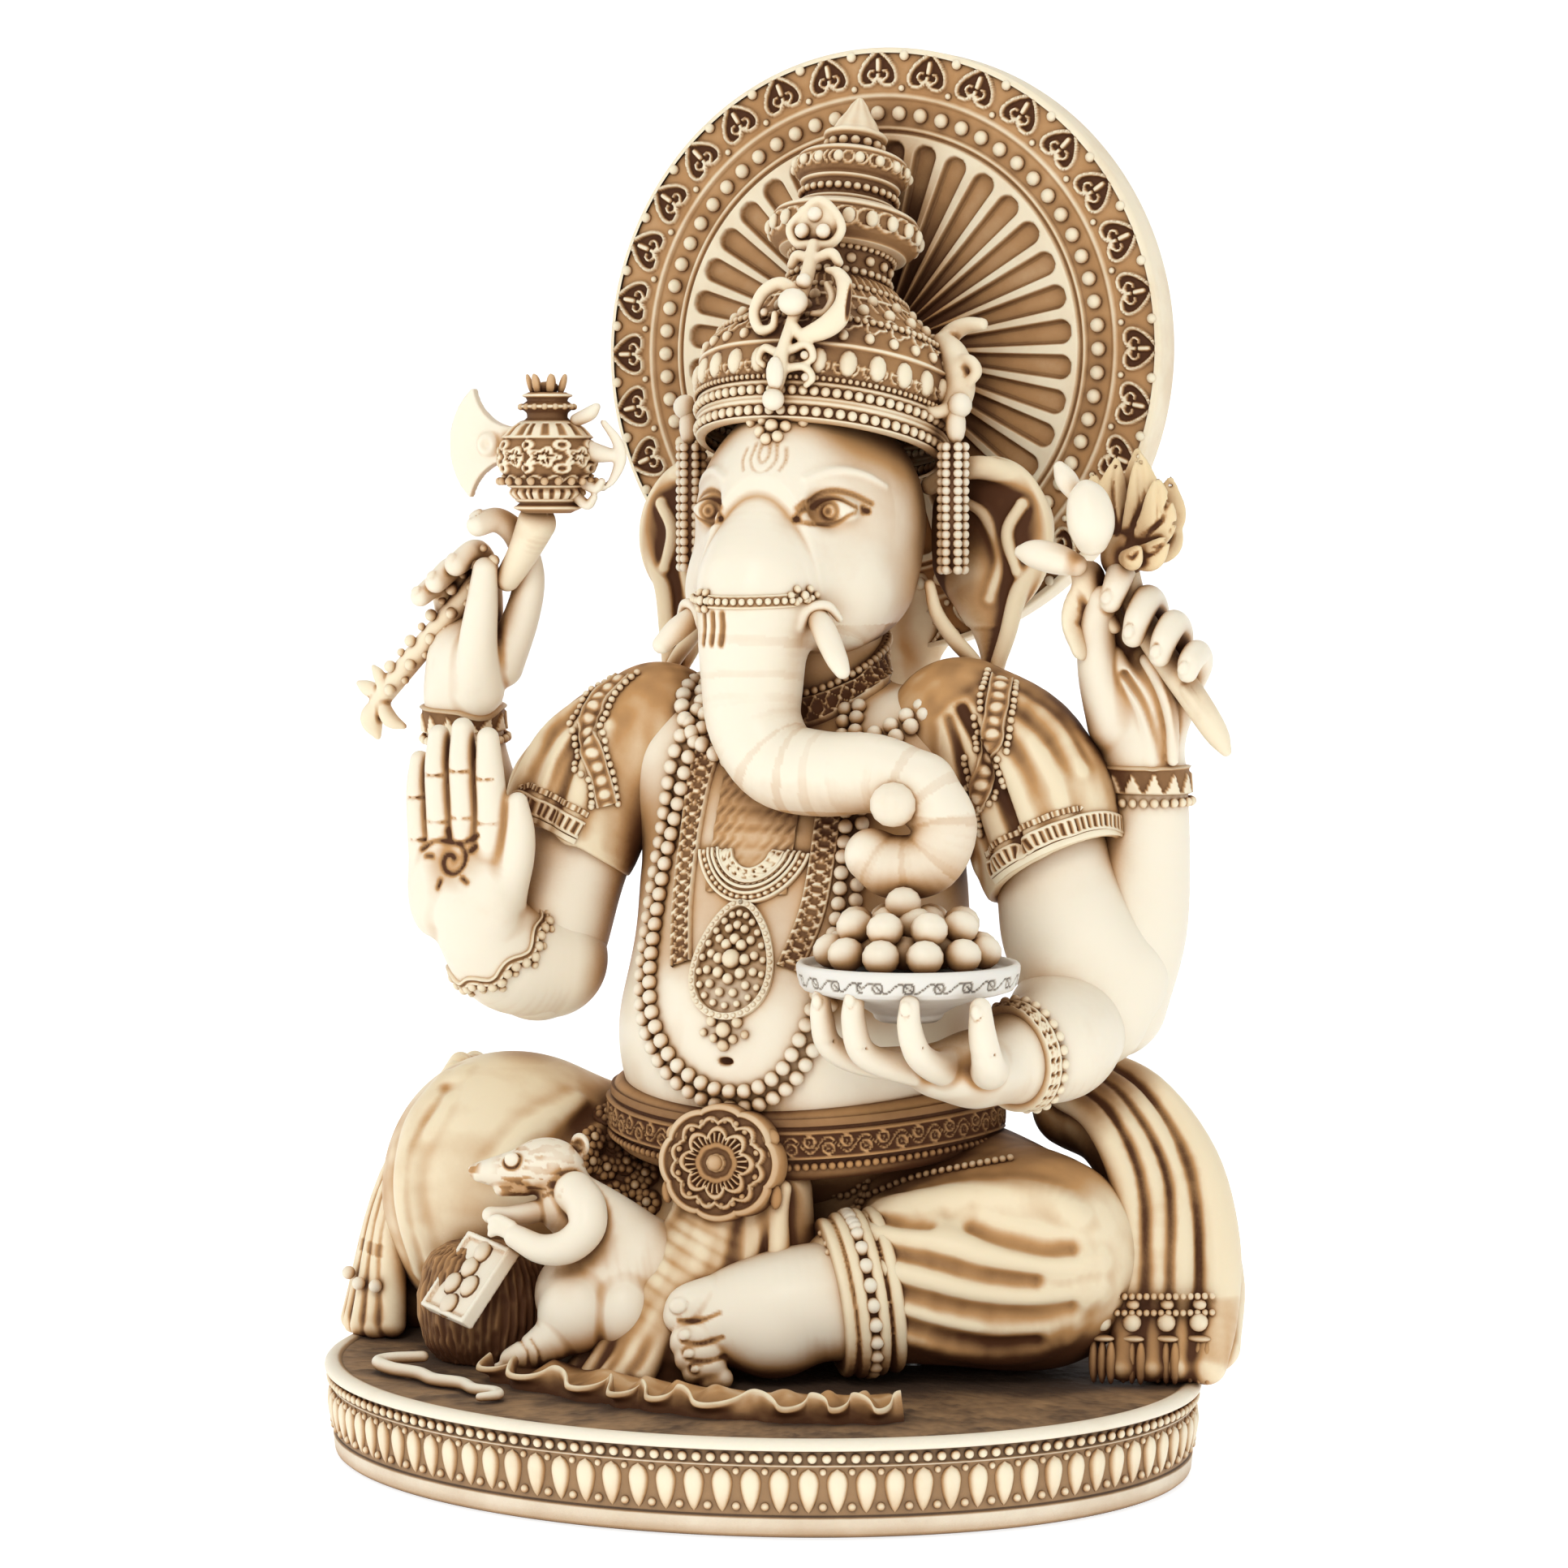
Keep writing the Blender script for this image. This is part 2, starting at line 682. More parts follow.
def resin(name, light, tan, dark, depth, gloss=0.34, grime=0.55, glow=0.12, speckle=0.0):
    """Ivory resin with a brown antique wash that gathers in crevices."""
    material = bpy.data.materials.new(name)
    material.use_nodes = True
    tree = material.node_tree
    nodes, link = tree.nodes, tree.links.new
    shader = nodes["Principled BSDF"]

    place = nodes.new("ShaderNodeTexCoord")
    wash = nodes.new("ShaderNodeAttribute")
    wash.attribute_name = "wash"

    shade = nodes.new("ShaderNodeAmbientOcclusion")
    shade.samples = 6
    shade.inputs["Distance"].default_value = 0.012
    hidden = nodes.new("ShaderNodeMath")
    hidden.operation = "SUBTRACT"
    hidden.inputs[0].default_value = 1.0
    link(shade.outputs["AO"], hidden.inputs[1])
    corner = nodes.new("ShaderNodeMath")
    corner.operation = "POWER"
    corner.inputs[1].default_value = 1.6
    link(hidden.outputs[0], corner.inputs[0])
    grimed = nodes.new("ShaderNodeMath")
    grimed.operation = "MULTIPLY_ADD"
    grimed.inputs[1].default_value = grime * 1.6
    link(corner.outputs[0], grimed.inputs[0])
    link(wash.outputs["Fac"], grimed.inputs[2])

    cloud = nodes.new("ShaderNodeTexNoise")
    cloud.inputs["Scale"].default_value = 55.0
    cloud.inputs["Detail"].default_value = 5.0
    cloud.inputs["Roughness"].default_value = 0.6
    link(place.outputs["Object"], cloud.inputs["Vector"])
    mottle = nodes.new("ShaderNodeMapRange")
    mottle.inputs["From Min"].default_value = 0.3
    mottle.inputs["From Max"].default_value = 0.7
    mottle.inputs["To Min"].default_value = -0.07 * depth
    mottle.inputs["To Max"].default_value = 0.09 * depth
    link(cloud.outputs["Fac"], mottle.inputs["Value"])
    amount = nodes.new("ShaderNodeMath")
    amount.operation = "ADD"
    amount.use_clamp = True
    link(grimed.outputs[0], amount.inputs[0])
    link(mottle.outputs["Result"], amount.inputs[1])

    ramp = nodes.new("ShaderNodeValToRGB")
    stops = ramp.color_ramp.elements
    stops[0].position, stops[0].color = 0.03, (*light, 1)
    stops[1].position, stops[1].color = 0.95, (*dark, 1)
    middle_stop = stops.new(0.42)
    middle_stop.color = (*tan, 1)
    link(amount.outputs[0], ramp.inputs["Fac"])
    link(ramp.outputs["Color"], shader.inputs["Base Color"])

    rough = nodes.new("ShaderNodeMapRange")
    rough.inputs["To Min"].default_value = gloss
    rough.inputs["To Max"].default_value = 0.72
    link(amount.outputs[0], rough.inputs["Value"])
    link(rough.outputs["Result"], shader.inputs["Roughness"])

    grain = nodes.new("ShaderNodeTexNoise")
    grain.inputs["Scale"].default_value = 900.0 if speckle else 420.0
    grain.inputs["Detail"].default_value = 3.0
    link(place.outputs["Object"], grain.inputs["Vector"])
    bump = nodes.new("ShaderNodeBump")
    bump.inputs["Strength"].default_value = 0.12 + speckle
    bump.inputs["Distance"].default_value = 0.0004
    link(grain.outputs["Fac"], bump.inputs["Height"])
    link(bump.outputs["Normal"], shader.inputs["Normal"])

    shader.inputs["Subsurface Weight"].default_value = glow
    shader.inputs["Subsurface Radius"].default_value = (0.0032, 0.0018, 0.001)
    shader.inputs["Subsurface Scale"].default_value = 1.0
    shader.inputs["Specular IOR Level"].default_value = 0.22
    return material


IVORY = (0.90, 0.83, 0.68)
TAN = (0.56, 0.31, 0.125)
BROWN = (0.085, 0.03, 0.01)
skin_resin = resin("skin_resin", IVORY, TAN, BROWN, depth=0.6, grime=0.65)
cloth_resin = resin("cloth_resin", (0.88, 0.76, 0.54), TAN, BROWN, depth=1.0, grime=0.85, gloss=0.4)
gold_resin = resin("gold_resin", (0.84, 0.67, 0.41), (0.46, 0.24, 0.09), BROWN, depth=1.1, grime=0.8, gloss=0.4)
plate_resin = resin(
    "plate_resin", (0.80, 0.78, 0.72), (0.5, 0.44, 0.36), (0.12, 0.1, 0.09), depth=0.8, grime=0.6, gloss=0.36
)
ground_resin = resin(
    "ground_resin", IVORY, (0.46, 0.28, 0.14), (0.09, 0.055, 0.035), depth=0.8, grime=0.5, gloss=0.5, speckle=0.25
)
felt = resin(
    "felt", (0.05, 0.05, 0.045), (0.045, 0.045, 0.04), (0.03, 0.03, 0.03), depth=1.0, grime=0.2, gloss=0.95, glow=0.0,
    speckle=0.6
)
relief_resin = resin("relief_resin", (0.90, 0.80, 0.60), (0.54, 0.30, 0.125), BROWN, depth=1.2, grime=0.8, gloss=0.42)


# ---- body --------------------------------------------------------------------------------------------------


def torso_clay():
    """Round belly, chest, shoulders and neck."""
    clay = Clay((-52, -24, 36), (58, 62, 182), 0.62)
    clay.egg((1, 19.5, 88), (40, 36.5, 38), 0)
    clay.egg((0.5, 21, 122), (36.5, 25, 30), 14)
    clay.egg((-24, 21, 146), (22, 18, 16), 10)
    clay.egg((26, 24, 147), (22, 18, 16), 10)
    clay.limb([(0, 27, 140, 19), (0, 27, 160, 15.5), (0, 27, 176, 15)], 9, smooth=0)
    clay.egg((0, 33, 60), (34, 27, 24), 12)
    clay.egg((0.3, -17.6, 85.8), (2.0, 3.2, 0.9), 0.8, cut=True)
    return clay


def torso_tone(points):
    """Golden wash over the chest and under the trunk, paler on the belly's bulge."""
    chest = 0.2 * smooth_step(92, 118, points[:, 2])
    shade = 0.2 * np.exp(-(((points[:, 0] - 24) / 14) ** 2) - ((points[:, 2] - 128) / 16) ** 2)
    low = 0.3 * smooth_step(66, 56, points[:, 2]) + 0.3 * smooth_step(20, 40, points[:, 1])
    return chest + shade + low + 0.16 * (noise(points, 9.0, 12) - 0.4)


def head_clay():
    """Skull, cheeks and the trunk that curls to the figure's left round a sweet."""
    clay = Clay((-28, -23, 117), (56, 54, 227), 0.5)
    clay.egg((0, 26, 197), (24.8, 24.8, 27), 0)
    clay.egg((0, 22, 184), (23.6, 19.5, 15), 6)
    clay.egg((-11.5, 14, 182), (11, 10, 11.5), 5)
    clay.egg((11.5, 14, 182), (11, 10, 11.5), 5)
    clay.limb([(0, 15, 212, 8.5), (0, 11.6, 203, 10), (0, 7.2, 194, 11.4), (0, 1.5, 184, 12.2)], 9, smooth=6)
    clay.limb(TRUNK[:8], 5)
    clay.limb(TRUNK[7:], 1.2)
    clay.egg((32.2, -12.6, 131.4), (2.0, 2.6, 2.0), 1.0, cut=True)
    for side in (-1, 1):
        clay.egg((side * 15.4, 4.0, 200.6), (5.6, 2.4, 3.8), 3.4, cut=True)
        clay.egg((side * 14.0, 8.6, 199.8), (5.2, 4.2, 3.4), 0.9)
        clay.limb(
            [
                (side * 11.5, -4.0, 176, 1.0), (side * 13.2, -3.4, 179.6, 1.1), (side * 16.5, -1.4, 180.2, 1.1),
                (side * 18.6, 0.4, 177.4, 0.8)
            ],
            1.2
        )
    return clay


TRUNK = [
    (0, 1.5, 184, 12.2),
    (0, -2, 176, 11.8),
    (0, -3, 165, 10.8),
    (1.3, -4.5, 155.5, 9.9),
    (7.5, -6, 147.6, 9.3),
    (18, -7, 145.6, 8.9),
    (30, -7.5, 146, 8.2),
    (40.5, -7.5, 143.3, 7.3),
    (46, -8, 136, 6.7),
    (43.5, -9.5, 128.6, 6.6),
    (36.5, -11.5, 127.2, 6.6),
    (31.5, -12, 129.5, 5.6),
]


def make_head(clay):
    """The head with its engraved eyes, brow mark, trunk band, socket slits and faint rings on the trunk."""
    start = -45.0

    def on_face(pairs, spacing=0.35):
        flat = even(curve([(x, start, z) for x, z in pairs]), spacing)
        return clay.drop(flat)

    cuts, faint, soft = [], [], []
    for side in (-1, 1):
        ex, ez = side * 14.0, 200.0
        upper = [(-5.4, -1.9), (-3.6, 0.9), (-1.0, 2.4), (1.8, 2.4), (4.2, 1.3), (6.0, -0.2)]
        lower = [(-5.4, -1.9), (-3.2, -2.6), (-0.4, -2.9), (2.4, -2.2), (4.6, -0.8), (6.0, -0.2)]
        second = [(-5.2, 0.6), (-2.6, 3.2), (0.4, 4.1), (3.4, 3.4), (6.4, 1.4)]
        for shape, group in ((upper, cuts), (lower, faint), (second, faint)):
            group.append(on_face([(ex + side * u, ez + w) for u, w in shape]))
        spin = np.linspace(0, 2 * math.pi, 25)
        faint.append(on_face([(ex + 1.9 * math.cos(a), ez - 0.2 + 1.9 * math.sin(a)) for a in spin], 0.3))
    mark = [
        [(-2.4, 214), (-2.9, 210.5), (-1.2, 208.2), (1.2, 208.2), (2.9, 210.5), (2.4, 214)],
        [(-0.9, 213.8), (-1.2, 211.5), (0, 209.9), (1.2, 211.5), (0.9, 213.8)],
        [(-4.6, 213.0), (-5.0, 210.5), (-4.2, 208.4)],
        [(4.6, 213.0), (5.0, 210.5), (4.2, 208.4)],
    ]
    soft += [on_face(line) for line in mark]
    slits = []
    for x in (-7.2, -4.6, -2.0):
        slits.append(on_face([(x, 178.6), (x + 0.3, 175.6), (x - 0.1, 172.4)]))
    for line in cuts + faint:
        clay.groove(line, 0.4)
    for line in soft:
        clay.groove(line[::2], 0.26)
    for line in slits:
        clay.groove(line, 0.6)
    for side in (-1, 1):
        line = on_face(
            [(side * (14 + u), 200 + w) for u, w in ((-4.6, 6.6), (-1.5, 8.0), (1.5, 8.3), (5, 7.2), (8.0, 4.8))]
        )
        clay.limb(
            np.column_stack([line[::3], 0.1 + 0.45 * np.sin(np.linspace(0.1, 3.04, len(line[::3])))]), 1.3, smooth=0
        )

    path = curve(TRUNK, 6)[:, :3]
    steps = np.concatenate([[0], np.cumsum(np.linalg.norm(np.diff(path, axis=0), axis=1))])

    def extra(points):
        stain = near_lines(points, cuts, 0.62, 0.8) + near_lines(
            points, soft, 0.55, 0.25
        ) + near_lines(points, slits, 0.75, 0.8)
        stain = stain + near_lines(points, faint, 0.6, 0.5)
        around_eyes = sum(
            0.16 * np.exp(
                -(((points[:, 0] - side * 14.0) / 7.5) ** 2) - ((points[:, 2] - 200.5) / 4.6) ** 2
            ) for side in (-1, 1)
        )
        corners_of_eyes = sum(
            0.18 * np.exp(
                -(((points[:, 0] - side * 8.8) / 2.4) ** 2) - ((points[:, 2] - 198.6) / 2.2) ** 2
            ) for side in (-1, 1)
        )
        stain = stain + (around_eyes + corners_of_eyes) * (points[:, 1] < 18)
        pupils = sum(
            0.62 * np.exp(-((np.hypot(points[:, 0] - side * 14.0, points[:, 2] - 199.8) / 0.85) ** 4))
            + 0.12 * np.exp(
                -((np.hypot(points[:, 0] - side * 14.0, points[:, 2] - 199.8) / 1.9) ** 4)
            ) for side in (-1, 1)
        )
        stain = stain + pupils * (points[:, 1] < 16)
        trunk = points[:, 2] < 176
        nearest = np.zeros(len(points), int)
        nearest[trunk] = np.linalg.norm(points[trunk][:, None] - path[None], axis=2).argmin(1)
        s = steps[nearest]
        side_of = points[:, 2] - path[nearest, 2]
        below = np.clip(-side_of / 9, 0, 1) * trunk
        rings = 0.12 * (0.5 + 0.5 * np.cos(2 * math.pi * s / 6.4)) ** 6 * trunk
        warm = 0.03 + 0.2 * below + rings + 0.12 * (points[:, 2] < 138)
        temple = 0.3 * smooth_step(8, 26, points[:, 1]) * (points[:, 2] > 170)
        temple = temple + 0.35 * smooth_step(205, 214, points[:, 2]) * smooth_step(4, 14, points[:, 1])
        return stain + warm + temple

    points, quads, normals, fine, broad = clay.skin()
    wash = np.clip(0.6 * np.clip(fine, -0.2, 1) + 0.32 * np.clip(broad, -0.25, 1) + extra(points), 0, 1)
    finish_piece(build_mesh("head", points, [quads], wash, normals), skin_resin, ["head"])

    kit = Kit()
    arc = np.linspace(-1, 1, 30)
    band = clay.drop(np.column_stack([arc * 13.2, np.full(30, start), 181.6 - 0.6 * (1 - arc**2)]))
    kit.band(clay, band[::3], 3.2, lambda s, y, half: np.maximum(rails(y, half, 0.3, 0.32), 0.3), lift=0.5, dark=0.5)
    spots = clay.project(even(band, 1.75), lift=0.75)
    kit.beads(spots, 0.72, 0.03)
    for x, z, r in ((-7.2, 181.2, 1.9), (12.2, 182.4, 1.5)):
        petals = clay.drop([(x + r * math.cos(a), start, z + r * math.sin(a)) for a in np.arange(6) * math.pi / 3])
        kit.beads(clay.project(petals, 0.5), 0.85, 0.08)
        kit.beads(clay.project(clay.drop([(x, start, z)]), 0.9), 1.0, 0.02)
    centre = clay.drop([(0.6, start, 217.2)])
    ring = clay.drop(
        [(0.6 + 2.7 * math.cos(a), start, 217.2 + 2.7 * math.sin(a)) for a in np.arange(7) * math.pi / 3.5]
    )
    kit.beads(clay.project(centre, 0.9), 1.5, 0.02)
    kit.beads(clay.project(ring, 0.7), 1.25, 0.05)
    wings = clay.drop([(0.6 + s * x, start, z) for s in (-1, 1) for x, z in ((5.6, 218.2), (8.2, 219.8))])
    kit.beads(clay.project(wings, 0.6), 1.2, 0.05)
    kit_piece("head_jewels", kit, relief_resin)


def make_tusks_and_sweet():
    """Two short rounded tusks and the sweet held in the trunk."""
    for name, rows in (
        (
            "tusk_left",
            [(14, -1, 178, 2.3), (17.4, -4.2, 174.6, 2.6), (21.4, -7.4, 169.6, 2.3), (23.4, -8.8, 167, 1.6)]
        ),
        ("tusk_right", [(-14, -1, 178, 2.3), (-17, -4, 175, 2.5), (-19.6, -6.2, 171.8, 2.0)]),
    ):
        low, high = np.array(rows)[:, :3].min(0) - 5, np.array(rows)[:, :3].max(0) + 5
        clay = Clay(low, high, 0.4)
        clay.limb(rows, 0.5)
        clay_piece(name, clay, skin_resin, [name], stain=0.05)
    kit = Kit()
    spot = (38.2, -16.2, 140.4)
    kit.beads([spot], 4.9, 0.04, np.diag([1.0, 0.98, 0.95]))
    kit_piece("trunk_sweet", kit, skin_resin, ["trunk_sweet"])


def make_ears():
    """Large ears that fold forward at the rim, hollow and dark inside."""
    for side, name in ((1, "ear_left"), (-1, "ear_right")):
        low, high = (20, 24, 156), (54, 54, 216)
        clay = Clay(low, high, 0.5)
        clay.egg((34, 44, 194), (15.5, 3.2, 17.5), 0, axes=turn((0, 0, 1), -8))
        clay.limb([(31, 42, 184, 5), (36, 41, 173, 4), (37.5, 38, 165, 2.2)], 5, flat=(0, 1, 0), squeeze=0.55)
        rim = [(23, 37, 205, 2.0), (30, 38, 208.5, 2.4), (36, 40.5, 208.5, 2.6), (42, 43.5, 205, 2.3),
            (46.4, 44, 198, 2.2),
               (46, 42.5, 190, 2.1), (42.4, 40, 182, 2.0), (40.6, 38, 173, 1.8), (38.5, 35, 164, 1.5)]
        clay.limb(rim, 1.6)
        clay.limb(
            [
                (26, 30, 184, 1.2), (27.5, 30.5, 178, 1.5), (31, 31.6, 172.5, 1.7), (35, 32.6, 168, 1.6),
                (38.3, 33, 163.4, 1.3)
            ],
            1.2
        )
        clay.limb([(27, 38, 203, 1.1), (34, 40.5, 199, 1.2), (38, 41, 190, 1.1), (36, 40, 181, 0.9)], 1.4)
        clay.limb([(43, 40, 201, 1.2), (40, 39.5, 195, 1.4), (42, 40, 187, 1.1)], 1.4)
        if side < 0:
            clay.axes[0] = -clay.axes[0][::-1]
            clay.low[0] = float(clay.axes[0][0])
            clay.d = np.ascontiguousarray(clay.d[::-1])
        clay_piece(name, clay, cloth_resin, [name], stain=0.38, gain=2.0,
                   extra=lambda points: 0.5 * smooth_step(41.5, 44.5, points[:, 1]) * (
                       np.abs(points[:, 0]) < 44
                   ) + 0.25 * smooth_step(200, 170, points[:, 2]))


# ---- crown -------------------------------------------------------------------------------------------------

CROWN_SEAT = np.array([0.0, 31.0, 213.0])
CROWN_UP = turn((1, 0, 0), -15) @ np.array([0.0, 0.0, 1.0])
CROWN_FRONT = unit(np.cross(np.cross(CROWN_UP, (0, -1, 0)), CROWN_UP))
CROWN_SIDE = np.cross(CROWN_UP, CROWN_FRONT)


def on_crown(angles, radius, height):
    """Points round the crown's leaning axis."""
    angles = np.asarray(angles, float)[..., None]
    return CROWN_SEAT + radius * (np.cos(angles) * CROWN_FRONT + np.sin(angles) * CROWN_SIDE) + height * CROWN_UP


def pearl_ring(kit, radius, height, pearl, wash, gap):
    """A ring of touching pearls round the crown."""
    count = int(2 * math.pi * radius / (2 * pearl * gap))
    kit.beads(on_crown(np.arange(count) * 2 * math.pi / count, radius, height), pearl, wash)


def cabochons(kit, radius, height, count, half_width, half_height, lift, wash=0.05):
    """Oval bosses round the crown, each in a thin frame of ground."""
    spots, shapes = [], []
    for k in range(count):
        a = (k + 0.5) * 2 * math.pi / count
        outward = math.cos(a) * CROWN_FRONT + math.sin(a) * CROWN_SIDE
        across = np.cross(CROWN_UP, outward)
        spots.append(on_crown(a, radius, height))
        shapes.append(np.column_stack([across * half_width, CROWN_UP * half_height, outward * lift]))
    kit.beads(np.array(spots), 1.0, wash, np.array(shapes))


def crown_part(name, profile, relief, extras, nodes, sides=400, lift=0.7):
    """One turned part of the crown with its ornaments."""
    kit = Kit()
    profile = np.array(profile, float)
    run = np.concatenate([[0], np.cumsum(np.hypot(*np.diff(profile, axis=0).T))])
    steps = np.linspace(0, run[-1], max(8, int(run[-1] / 0.42)))
    radii, heights = np.interp(steps, run, profile[:, 0]), np.interp(steps, run, profile[:, 1])
    kit.turned(CROWN_SEAT, CROWN_UP, CROWN_FRONT, radii, heights, relief, lift, sides, dark=0.62)
    extras(kit)
    kit_piece(name, kit, relief_resin, nodes)


def make_crown():
    """The tall stepped crown: brow band, bell-shaped cap, two round discs and a bud, ringed with pearls and bosses."""

    def cap_relief(a, t):
        rib = np.maximum.reduce([ridge(t - h, 0.45) for h in (-0.4, 3.0, 4.0, 7.0, 16.0, 29.6)])
        u = (a / 2.6) % 1 - 0.5
        curl = ridge(np.hypot(u * 2.6, t - 10.4 - 2.0 * np.abs(u)) - 0.9, 0.3) * (np.abs(t - 11) < 3.4)
        wide = (a / 5.2) % 1 - 0.5
        leaf = ridge(
            np.hypot(wide * 5.2, t - 22) - 2.0 - 0.6 * np.cos(3 * np.arctan2(t - 22, wide * 5.2)), 0.35
        ) * (np.abs(t - 22) < 4)
        scale = ridge(((a / 2.9 + t / 5.8) % 1) - 0.5, 0.16) * (t > 26)
        return np.maximum.reduce([rib, curl * 0.8, leaf * 0.9, scale * 0.6])

    def cap_extras(kit):
        pearl_ring(kit, 26.7, 1.2, 1.12, 0.0, gap=1.12)
        pearl_ring(kit, 27.3, 5.5, 1.05, 0.0, gap=1.12)
        cabochons(kit, 27.6, 12.0, 27, 2.1, 3.0, 1.7, 0.02)
        pearl_ring(kit, 28.0, 8.2, 0.55, 0.15, gap=1.3)
        cabochons(kit, 27.0, 18.2, 30, 1.15, 1.3, 1.2, 0.02)
        pearl_ring(kit, 24.6, 22.6, 0.75, 0.1, gap=1.15)
        cabochons(kit, 21.6, 25.6, 22, 1.35, 1.5, 1.2, 0.02)
        cabochons(kit, 18.0, 29.0, 18, 1.3, 1.4, 1.1, 0.03)
        pearl_ring(kit, 15.2, 32.4, 0.7, 0.1, gap=1.15)

    crown_part(
        "crown_cap",
        [
            (24.5, -0.8), (26.4, -0.4), (26.4, 2.8), (26.7, 4), (26.9, 7), (27.8, 9), (28, 13), (27.4, 17),
            (25.6, 20.8), (22.6, 24.2), (18.8, 27.8), (15.4, 31.6), (12.8, 35), (11, 36)
        ],
        cap_relief,
        cap_extras,
        ["crown_cap"],
    )

    def tier_relief(a, t):
        u = (a / 3.4) % 1 - 0.5
        drum = ((t > 44.6) & (t < 50.4)) * ridge(np.hypot(u * 3.4, (t - 47.6) * 0.9) - 1.75, 0.3)
        small = (a / 2.8) % 1 - 0.5
        top = ((t > 60.4) & (t < 63.2)) * ridge(np.hypot(small * 2.8, t - 61.8) - 1.2, 0.3)
        rib = np.maximum.reduce([ridge(t - h, 0.4) for h in (35.4, 43.0, 54.0, 58.4, 64.4)])
        upper = 0.9 * ((t > 50.4) & (t < 53)) + 0.8 * (t > 64.8)
        return np.maximum.reduce([drum * 0.8, top * 0.8, rib, upper])

    def tier_extras(kit):
        pearl_ring(kit, 11.0, 37.2, 0.85, 0.05, gap=1.15)
        cabochons(kit, 10.7, 40.0, 15, 1.1, 1.2, 0.9, 0.05)
        pearl_ring(kit, 11.3, 42.4, 0.7, 0.08, gap=1.15)
        cabochons(kit, 16.3, 47.6, 20, 1.5, 1.8, 1.2, 0.0)
        pearl_ring(kit, 10.4, 56.0, 0.85, 0.03, gap=1.2)
        cabochons(kit, 12.4, 61.8, 17, 1.15, 1.3, 1.1, 0.0)

    crown_part(
        "crown_tiers",
        [(11.2, 34.6), (10.6, 37), (10.2, 40), (10.8, 42.6), (13.6, 43.4), (15.6, 45.0), (16.3, 47.4), (16.0, 49.6),
        (14.8, 51.4), (12.4, 52.6), (10.2, 53.2), (9.7, 55), (9.7, 57.6),
         (10.4, 58.8), (11.6, 59.8), (12.3, 61.6), (12.0, 63.4), (10.6, 64.9), (8.8, 65.6), (6, 66.2)],
        tier_relief,
        tier_extras,
        ["crown_tiers"],
        sides=300,
    )

    def bud_relief(a, t):
        return np.maximum(ridge(t - 69.4, 0.6), (t > 70) * (0.9 + 0.1 * np.cos(a * 2.2)))

    def bud_extras(kit):
        pearl_ring(kit, 5.9, 67.6, 1.05, 0.03, gap=1.25)

    crown_part(
        "crown_finial",
        [
            (6.2, 65.8), (5.8, 66.4), (5.3, 67.6), (5.6, 69), (6.6, 69.5), (6.6, 70.3), (4.9, 71.2), (4.0, 73.2),
            (2.4, 75.4), (1.5, 77.2), (0.2, 78.8)
        ],
        bud_relief,
        bud_extras,
        ["crown_finial"],
        sides=90,
        lift=0.4,
    )


